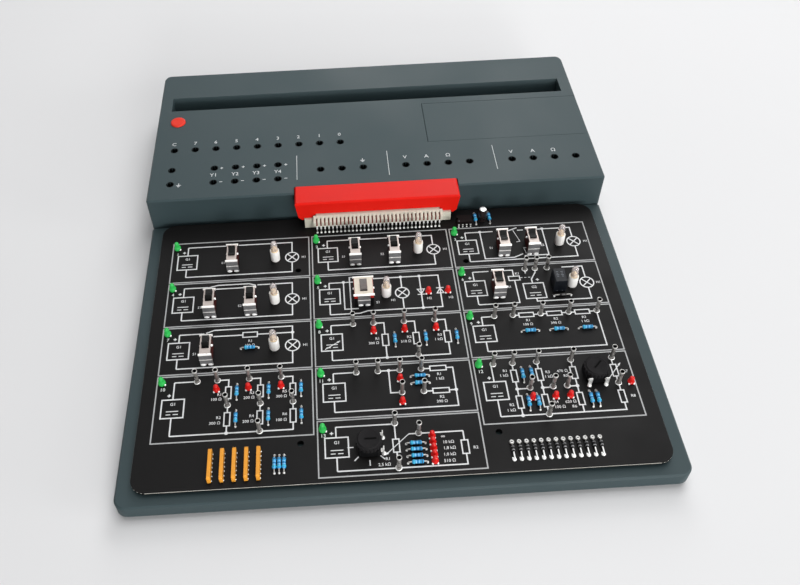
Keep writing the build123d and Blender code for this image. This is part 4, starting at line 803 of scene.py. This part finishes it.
button = Piece()
x0, y0, z0, x1, y1, _ = solids("power_button")[0]
spot = button.at((x0 + x1) / 2, (y0 + y1) / 2)
spot.lathe([(5.1, 33), (5.1, 36.9), (4.95, 37.25), (4.6, 37.45), (3.9, 37.49), (2.6, 37.42), (0, 37.38)],
           "button", 48)
spot.lathe([(6.15, 32.35), (6.2, 32.5), (6.2, 33.6), (5.9, 33.75), (5, 33.75), (5, 32.35)],
           "button", 32, hollow=True)
spot.box(-1.5, 1.5, -1.5, 1.5, z0, 33.1, "button")
button.done("red_push_button", "red_button", ["power_button"], body="power_button")

sockets = Piece()
for x, y, _ in middles("panel_sockets"):
    spot = sockets.at(x, y)
    spot.lathe([(3.9, 11.6), (3.98, 12.2), (3.98, 33.3), (3.6, 33.9), (2.1, 33.9), (2.05, 33.5), (2.05, 17),
                (0, 17)], "socket", 24)
    spot.lathe([(2.1, 33.8), (2.42, 33.8), (2.42, 36.3), (2.55, 36.55), (2.4, 36.6), (2.12, 36.5),
                (2.1, 36)], "socket", 24, hollow=True)
    spot.lathe([(2.04, 17.2), (2.04, 31), (1.9, 31), (1.9, 17.2)], "socket_metal", hollow=True)
sockets.done("lead_sockets", "socket_plastic", ["panel_sockets"], body="case")


# Print on the board

silk = Piece()
board = silk.at(GRID_X, GRID_Y, BOARD_TOP)
INK = "print"
LABEL_SIZE, SIGN_SIZE = 1.75, 3.2


def label(x, y, text, size):
    board.at(x, y).write(text, size, INK)


def wire(*path, width=WIRE):
    """A printed wire through x, y, x, y and so on."""
    board.strip(list(zip(path[::2], path[1::2])), INK, width)


def rectangle(x0, x1, y0, y1, width=0.7, ink=INK):
    """A printed rectangle whose outer edges are these."""
    h = width / 2
    x0, x1, y0, y1 = x0 + h, x1 - h, y0 + h, y1 - h
    board.strip([(x0, y0), (x1, y0), (x1, y1), (x0, y1)], ink, width, closed=True)


def joint(x, y):
    """The dot where printed wires join."""
    board.at(x, y).dot(1.05, INK)


def plus(x, y):
    wire(x - 0.95, y, x + 0.95, y, width=0.6)
    wire(x, y - 0.95, x, y + 0.95, width=0.6)


def source(x, y, name="G1", variable=False):
    """Source symbol from its upper left corner."""
    rectangle(x, x + 13, y - 12.5, y, WIRE)
    label(x + 6.6, y - 3.4, name, 1.9)
    wire(x + 3.2, y - 7.9, x + 9.8, y - 7.9, width=0.5)
    wire(x + 3.2, y - 9.9, x + 5.7, y - 9.9, width=0.5)
    wire(x + 7, y - 9.9, x + 9.8, y - 9.9, width=0.5)
    if variable:
        arrow((x + 2.4, y - 11), (x + 11.2, y - 5.4))


def arrow(start, end):
    """A thin slanted line with a head at its end."""
    wire(*start, *end, width=0.45)
    way = Vector((end[0] - start[0], end[1] - start[1])).normalized()
    side = Vector((-way.y, way.x))
    tip = Vector(end)
    back = tip - way * 1.8
    board.slab([tip, back + side * 0.7, back - side * 0.7], 0, FILM, INK)


def lamp(x, y, name="H1", tag=None):
    board.at(x, y).ring(4.1, INK, 0.7)
    for turn in (45, 135):
        board.at(x, y, turn=turn).strip([(-3.9, 0), (3.9, 0)], INK, 0.65)
    label(*(tag or (x + 7.4, y - 0.3)), name, 1.7)


def divider(start, high, low, end):
    """Two resistors in a column below a wire's first points, and the wires between and below them."""
    x = start[-2]
    for top, bottom in (high, low):
        wire(*start, x, top)
        rectangle(x - 1.9, x + 1.9, bottom, top)
        start = [x, bottom]
    wire(*start, x, end)


# column, row and depth of each cell's frame
FRAMES = [(column, row, 33.8) for row in range(3) for column in range(3)]
FRAMES += [(0, 3, 42.9), (1, 3, 33.8), (2, 3, 42.9), (1, 4, 34)]
for column, row, depth in FRAMES:
    rear = 0.4 - ROW * row
    rectangle(COLUMN * column, COLUMN * column + 87, rear - depth, rear, ink="frame_print")

# each cell's number: its place, its source's upper left corner, and its upper and lower wires
CELLS = {
    1: (3.6, -9.2, 3.7, -10.4, -3.9, -28.9), 2: (91.7, -9.2, 92, -10.4, -4.5, -29.4),
    3: (179.8, -9.4, 180.3, -10.4, -4.2, -29.1), 4: (3.4, -42.8, 3.7, -44.8, -38.2, -63.2),
    5: (91.6, -43.4, 92, -44.8, -40.3, -65), 6: (179.8, -43.4, 180.3, -44.8, -37.9, -63.8),
    7: (3.5, -77.1, 3.7, -79.2, -73.9, -98), 8: (91.5, -77.5, 92, -79.2, -73.2, -98.2),
    9: (180.1, -77.8, 180.3, -79.2, -73.3, -98.2), 10: (3.7, -111.6, 3.7, -118, -107.3, -141.4),
    11: (91.6, -111.8, 92, -113.5, -107.3, -132.5), 12: (180.3, -111.6, 180.3, -118.5, -107.2, -141.2),
    13: (91.6, -146.6, 92, -147.7, -141.8, -167.8),
}
for number, (x_number, y_number, x, y, top, bottom) in CELLS.items():
    label(x_number, y_number, str(number), 2.2)
    source(x, y, variable=number == 8)
    plus(x + 4, y + 2.3)
    wire(x + 6.3, y, x + 6.3, top)
    wire(x + 6.3, y - 12.5, x + 6.3, bottom)

# Cell 1
wire(10, -3.9, 36.5, -3.9)
wire(42, -3.9, 75.9, -3.9, 75.9, -12.4)
wire(75.9, -20.9, 75.9, -28.9, 10, -28.9)
lamp(75.9, -16.7)
# Cell 2
wire(98.2, -4.5, 112, -4.5)
wire(119, -4.5, 136.6, -4.5)
wire(143.4, -4.5, 165, -4.5, 165, -12.4)
wire(165, -20.9, 165, -29.4, 98.2, -29.4)
lamp(165, -16.7)
# Cell 3
wire(186.7, -4.2, 204.5, -4.2)
wire(196.2, -4, 196.2, -27.4, 214.5, -27.4, 220.3, -24.8)
wire(221, -26.5, 236.2, -26.5, 236.2, -4)
wire(211.5, -4.2, 214.5, -4.2, 220.3, -1.9)
wire(220.3, -4.2, 224, -4.2)
wire(229.8, -4.2, 253.8, -4.2, 253.8, -12.2)
wire(253.8, -20.7, 253.8, -29.1, 186.7, -29.1)
wire(217.5, -4, 220.3, -14, 217.9, -14.4, width=0.4)
wire(227.5, -19.4, 221.6, -19.8, 222.4, -24.6, width=0.4)
joint(196.2, -4.1)
joint(236.2, -4.1)
lamp(253.8, -16.5)
# Cell 4
wire(10, -38.2, 24.6, -38.2)
wire(24.6, -38.5, 30.6, -36.9, 49.3, -36.9, 53.6, -38.4)
wire(29.4, -39.9, 48, -39.9)
wire(54.6, -38.2, 75.9, -38.2, 75.9, -46.8)
wire(75.9, -55.2, 75.9, -63.2, 10, -63.2)
lamp(75.85, -51)
# Cell 5
wire(98.3, -40.3, 113, -40.3)
wire(107.1, -40.1, 107.1, -61.4, 115.3, -61.4)
wire(113.6, -36.5, 110.9, -36.5, 110.9, -63.5)
wire(98.3, -65, 116, -65, 120.6, -63.5, 165.2, -63.5, 165.2, -38.5, 125, -38.5)
wire(142.2, -38.5, 142.2, -46.8)
wire(142.2, -55.2, 142.2, -63.5)
wire(153.6, -38.5, 153.6, -63.5)
for x, point in ((153.6, -1), (165.2, 1)):
    base, tip = -50.9 - 1.9 * point, -50.9 + 1.9 * point
    board.strip([(x - 2.1, base), (x + 2.1, base), (x, tip)], INK, 0.6, True)
    wire(x - 2.3, -50.9 + 2.2 * point, x + 2.3, -50.9 + 2.2 * point, width=0.6)
for spot in ((107.1, -40.2), (142.2, -38.5), (153.6, -38.5), (153.6, -63.5)):
    joint(*spot)
lamp(142.2, -51, tag=(136.4, -56.4))
# Cell 6
wire(186.7, -37.9, 196.4, -37.9)
wire(203, -37.9, 211.1, -37.9, 211.1, -42.6)
wire(211.1, -46.6, 211.1, -63.8, 186.7, -63.8)
rectangle(207.4, 214.8, -46.6, -42.6)
for start in (214.8, 217.2, 219.6):
    wire(start, -44.4, start + 1.4, -44.4, width=0.4)
wire(218.6, -37.9, 218.6, -41.2)
wire(224.7, -37.9, 224.7, -40.6, 221.4, -46, 221.4, -49)
source(215.2, -49, "G2")
plus(224.9, -46.6)
wire(221.6, -61.5, 221.6, -63.5, 254.1, -63.5, 254.1, -55.1)
wire(254.1, -46.7, 254.1, -37.7, 241.5, -37.7)
lamp(254.1, -50.9, tag=(261, -51.3))
# Cell 7
wire(10, -73.9, 24.4, -73.9)
wire(25.4, -73.6, 30.2, -71.7, 75.8, -71.7, 75.8, -81.4)
wire(29.9, -76.3, 46.6, -76.3)
wire(55.7, -76.3, 75.8, -76.3)
rectangle(46.6, 55.7, -78.4, -74.2)
joint(75.8, -76.3)
wire(75.8, -89.8, 75.8, -98, 10, -98)
lamp(75.8, -85.6)
# Cell 8
wire(98.3, -73.2, 111.2, -73.2)
for x, x_post in ((129.3, 123.2), (147.2, 141.1), (165.2, 159.1)):
    wire(x_post, -73.2, x, -73.2, x, -81.3)
    rectangle(x - 2.1, x + 2.1, -90.1, -81.3)
    wire(x, -90.1, x, -98.2)
wire(98.3, -98.2, 165.6, -98.2)
joint(129.3, -98.2)
# Cell 9
wire(186.7, -73.3, 194.1, -73.3)
for x0, x1, x_post in ((208.4, 217.7, 205.1), (224.8, 234.3, 221.4), (241.4, 250.6, 237.9)):
    wire(x_post, -73.3, x0, -73.3)
    rectangle(x0, x1, -75.2, -71.4)
    wire(x1, -73.3, x1 + 4, -73.3)
wire(254.4, -73.3, 254.4, -98.2, 186.7, -98.2)
# Cell 10
wire(10, -107.3, 22.6, -107.3)
for x, x_post in ((40.2, 33.9), (57.9, 51.6), (75.8, 69.4)):
    divider([x_post, -107.3, x, -107.3], (-111.6, -120.1), (-128.3, -137.3), -141.4)
wire(10, -141.4, 76.1, -141.4)
joint(40.2, -141.4)
# Cell 11
wire(98.3, -107.3, 111.2, -107.3)
wire(123.3, -107.3, 135.5, -107.3)
wire(129.3, -107.3, 129.3, -122.1, 135.5, -122.1)
joint(129.3, -107.3)
for y in (-107.4, -122.3):
    wire(147.5, y, 152.1, y)
    rectangle(152.1, 161.8, y - 1.9, y + 1.9)
    wire(161.8, y, 165.5, y)
wire(165.2, -107.4, 165.2, -132.5, 98.3, -132.5)
joint(165.2, -122.3)
# Cell 12
wire(186.6, -107.2, 187.8, -107.2)
for x, start, end in ((198.4, 198.4, 205.4), (212.4, 212.4, 218.1), (231.4, 226, 231.4)):
    divider([x, -107.2], (-111.5, -120), (-128.5, -137), -141.2)
    wire(start, -124.4, end, -124.4)
    joint(x, -124.4)
wire(254.1, -107.2, 254.1, -111.5)
rectangle(252.2, 256, -120, -111.5)
arrow((250, -120.6), (258.4, -111))
wire(254.1, -120, 254.1, -128.5)
rectangle(252.2, 256, -137, -128.5)
wire(254.1, -137, 254.1, -141.2)
wire(186.6, -141.2, 254.5, -141.2)
joint(198.4, -141.2)
# Cell 13
wire(98.3, -141.8, 129.5, -141.8, 129.5, -150.6)
rectangle(127.5, 131.5, -159, -150.6)
wire(165.2, -148.3, 136.6, -148.3)
arrow((136.6, -148.3), (123.5, -160))
wire(165.2, -148.3, 165.2, -153.5)
rectangle(163.1, 167.3, -162.1, -153.5)
wire(165.2, -162.1, 165.2, -167.8, 98.3, -167.8)
wire(129.5, -159, 129.5, -167.8)
for angle in (180, 225, 270, 315):
    board.at(115.2, -154.4, turn=angle).strip([(8, 0), (11.2, 0)], INK, 0.6)

# text of each label, and its places
LABELS = {
    "S1": [(32.7, -18.4), (108.3, -18.8), (201.4, -18.4), (20.3, -53.8), (127.2, -57.5), (207.2, -51.3),
        (19.6, -88.2)],
    "S2": [(132.6, -18.4), (233.8, -18.3), (44.3, -54.1)],
    "H2": [(158, -56.5)],
    "H3": [(171, -56.7)],
    "K1": [(213.5, -41)],
    "R1": [(51.4, -80.9), (124.8, -84.6), (213.4, -77.4), (35.4, -116.8), (157.2, -111.5),
        (193.8, -112), (124.6, -162.2)],
    "100 Ω": [(51.1, -84), (212.7, -80.4), (33.7, -119.8), (69.4, -135.1), (219.2, -137.2)],
    "300 Ω": [(122.5, -87.6), (33.7, -134.9), (69.5, -120.1)],
    "R2": [(143.1, -84.6), (229.6, -77.4), (35.6, -131.6), (157, -126.4), (193.7, -134.3),
        (170.6, -158.5)],
    "510 Ω": [(141, -87.6), (156.2, -165.3)],
    "R3": [(160.8, -84.3), (246.1, -77.4), (53.3, -116.8), (217.1, -114.4)],
    "1 kΩ": [(159.8, -87.4), (246.2, -80.4), (157.2, -114.5), (192.7, -115.1), (192.9, -137.6),
        (217.2, -117.4)],
    "390 Ω": [(229.1, -80.4), (156.7, -129.3)],
    "200 Ω": [(51.7, -119.8), (51.6, -134.9)],
    "R4": [(53.4, -131.6), (217.7, -134)],
    "R5": [(71.3, -117), (226.6, -117.5)],
    "R6": [(71.3, -131.6), (227, -137.4)],
    "470 Ω": [(225.3, -114.2)],
    "620 Ω": [(225.6, -134.3)],
    "R7": [(259.9, -116.8)],
    "R8": [(259.9, -132.8)],
    "∞": [(154.3, -151)],
    "10 kΩ": [(156.8, -154.4)],
    "1,8 kΩ": [(157, -157.9)],
    "1,0 kΩ": [(156.6, -161.6)],
    "2,5 kΩ": [(122.6, -165.4)],
}
for text, spots in LABELS.items():
    for spot in spots:
        label(*spot, text, LABEL_SIZE)

# The board's cut edge, a pale line round its top: how far in and down it lies, its width and height
CORNER = 8.5
RIM_INSET, RIM_DROP, RIM_WIDTH, RIM_HEIGHT = 0.22, 0.6, 0.5, 0.46
low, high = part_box("trainer_pcb")
rim = []
for sx, sy, start in ((1, 1, 0), (-1, 1, 90), (-1, -1, 180), (1, -1, 270)):
    x = (high[0] if sx > 0 else low[0]) / MM - sx * CORNER
    y = (high[1] if sy > 0 else low[1]) / MM - sy * CORNER
    for angle in range(start, start + 91, 15):
        turn = math.radians(angle)
        rim.append((x + (CORNER - RIM_INSET) * math.cos(turn), y + (CORNER - RIM_INSET) * math.sin(turn)))
silk.at(z=BOARD_TOP - RIM_DROP).strip(rim, "cut_edge", RIM_WIDTH, closed=True, thick=RIM_HEIGHT)
silk.done("board_print", "board_laminate")


# Print on the hood

marks = Piece()
hood = marks.at(GRID_X, GRID_Y, HOOD_TOP)
PALE = "hood_print"
SIGNS = [
    (-2.6, 76, "C"), (11.8, 76.2, "7"), (25.7, 76.4, "6"), (39.9, 76.6, "5"), (53.9, 76.8, "4"),
    (68.1, 77, "3"), (82.2, 77.2, "2"), (96.5, 77.4, "1"), (110.3, 77.6, "0"),
    (26, 42.6, "Y1"), (40.2, 42.6, "Y2"), (54, 42.6, "Y3"), (68.3, 42.6, "Y4"),
    (152.9, 50.3, "V"), (167.2, 50.1, "A"), (181.6, 50, "Ω"),
    (223.7, 50, "V"), (238.2, 49.8, "A"), (251.9, 49.6, "Ω"),
]


def mark(*path, width=0.45):
    hood.strip(path, PALE, width)


for x, y, text in SIGNS:
    hood.at(x, y).write(text, SIGN_SIZE, PALE, bold=0)
for x in (31.1, 45.3, 59.4, 73.6):
    mark((x - 1, 49.3), (x + 1, 49.3))
    mark((x, 48.3), (x, 50.3))
    mark((x - 1, 35.8), (x + 1, 35.8))
for x, y in ((3.7, 34.4), (124.6, 49.5)):
    mark((x, y + 1.9), (x, y))
    for k, half in enumerate((1.6, 1, 0.45)):
        mark((x - half, y - 0.75 * k), (x + half, y - 0.75 * k), width=0.4)
for x in (80.9, 141.3, 212.2):
    mark((x, 33.6), (x, 57.6), width=0.35)
marks.done("hood_marks", "case_plastic", body="case")


# Floor, lights and world

FLOOR_HALF = 40
NEAR, FAR = 0.5, 1.2
PALE_FLOOR = "#e6e6e7"
PALE_BACKDROP = "#e4e5e7"


def seen_directly(tree):
    """One for what the camera sees, directly or in metal and glass, and nought for the light on things."""
    rays = new_node(tree, "LightPath")
    total = rays.outputs["Is Camera Ray"]
    for kind in ("Is Glossy Ray", "Is Transmission Ray"):
        either = new_node(tree, "Math", operation="MAXIMUM")
        tree.links.new(total, either.inputs[0])
        tree.links.new(rays.outputs[kind], either.inputs[1])
        total = either.outputs["Value"]
    return total


def mixed(tree, share, usual, pale, output):
    """Shows a pale shader in place of the usual one, by this share."""
    mix = new_node(tree, "MixShader")
    for source, target in ((share, "Fac"), (usual, 1), (pale, 2)):
        tree.links.new(source, mix.inputs[target])
    tree.links.new(mix.outputs["Shader"], tree.nodes[output].inputs["Surface"])


def make_floor():
    """A pale floor that takes the object's shadow. Far out, the camera sees the backdrop's colour."""
    material = look("floor", PALE_FLOOR, rough=0.9, vary=0.01, patch=300, grain=0, shine=0)
    tree = material.node_tree
    link = tree.links.new
    reach = new_node(tree, "VectorMath", operation="LENGTH")
    link(new_node(tree, "TexCoord").outputs["Object"], reach.inputs[0])
    fade = new_node(tree, "MapRange", {"From Min": NEAR, "From Max": FAR}, interpolation_type="SMOOTHSTEP")
    link(reach.outputs["Value"], fade.inputs["Value"])
    seen = new_node(tree, "Math", operation="MULTIPLY")
    link(fade.outputs["Result"], seen.inputs[0])
    link(seen_directly(tree), seen.inputs[1])
    pale = new_node(tree, "Emission", {"Color": linear(PALE_BACKDROP)})
    mixed(tree, seen.outputs["Value"], tree.nodes["Principled BSDF"].outputs["BSDF"],
          pale.outputs["Emission"], "Material Output")
    mesh = bpy.data.meshes.new("floor")
    corners = [(-1, -1), (1, -1), (1, 1), (-1, 1)]
    mesh.from_pydata([(x * FLOOR_HALF, y * FLOOR_HALF, 0) for x, y in corners], [], [(0, 1, 2, 3)])
    mesh.materials.append(material)
    new_object("floor", mesh)


def make_world():
    """A weak pale sky, which the camera sees in the backdrop's colour."""
    world = bpy.data.worlds.new("world")
    world.use_nodes = True
    tree = world.node_tree
    sky = tree.nodes["Background"]
    sky.inputs["Color"].default_value = linear("#f0f1f3")
    sky.inputs["Strength"].default_value = 0.06
    backdrop = new_node(tree, "Background", {"Color": linear(PALE_BACKDROP)})
    mixed(tree, seen_directly(tree), sky.outputs["Background"], backdrop.outputs["Background"],
          "World Output")
    scene.world = world


def area_light(name, place, size, power):
    """A round light that shines at the origin."""
    light = bpy.data.lights.new(name, "AREA")
    light.shape = "DISK"
    light.size = size
    light.energy = power
    thing = new_object(name, light)
    thing.location = place
    thing.visible_camera = False
    thing.rotation_euler = (-Vector(place)).to_track_quat("-Z", "Y").to_euler()


make_floor()
area_light("overhead", (0.2, 0.1, 2.2), 1.6, 24)
area_light("front_right", (0.9, -1.5, 0.8), 1.2, 11)
area_light("back_right", (0.8, 1.1, 1.5), 1, 8.8)
area_light("back", (0.2, 1.4, 0.9), 1, 7.7)
area_light("low_front", (0.46, -2.6, 0.5), 0.9, 36)
area_light("low_right", (2.6, -0.92, 0.62), 1.2, 23)
make_world()
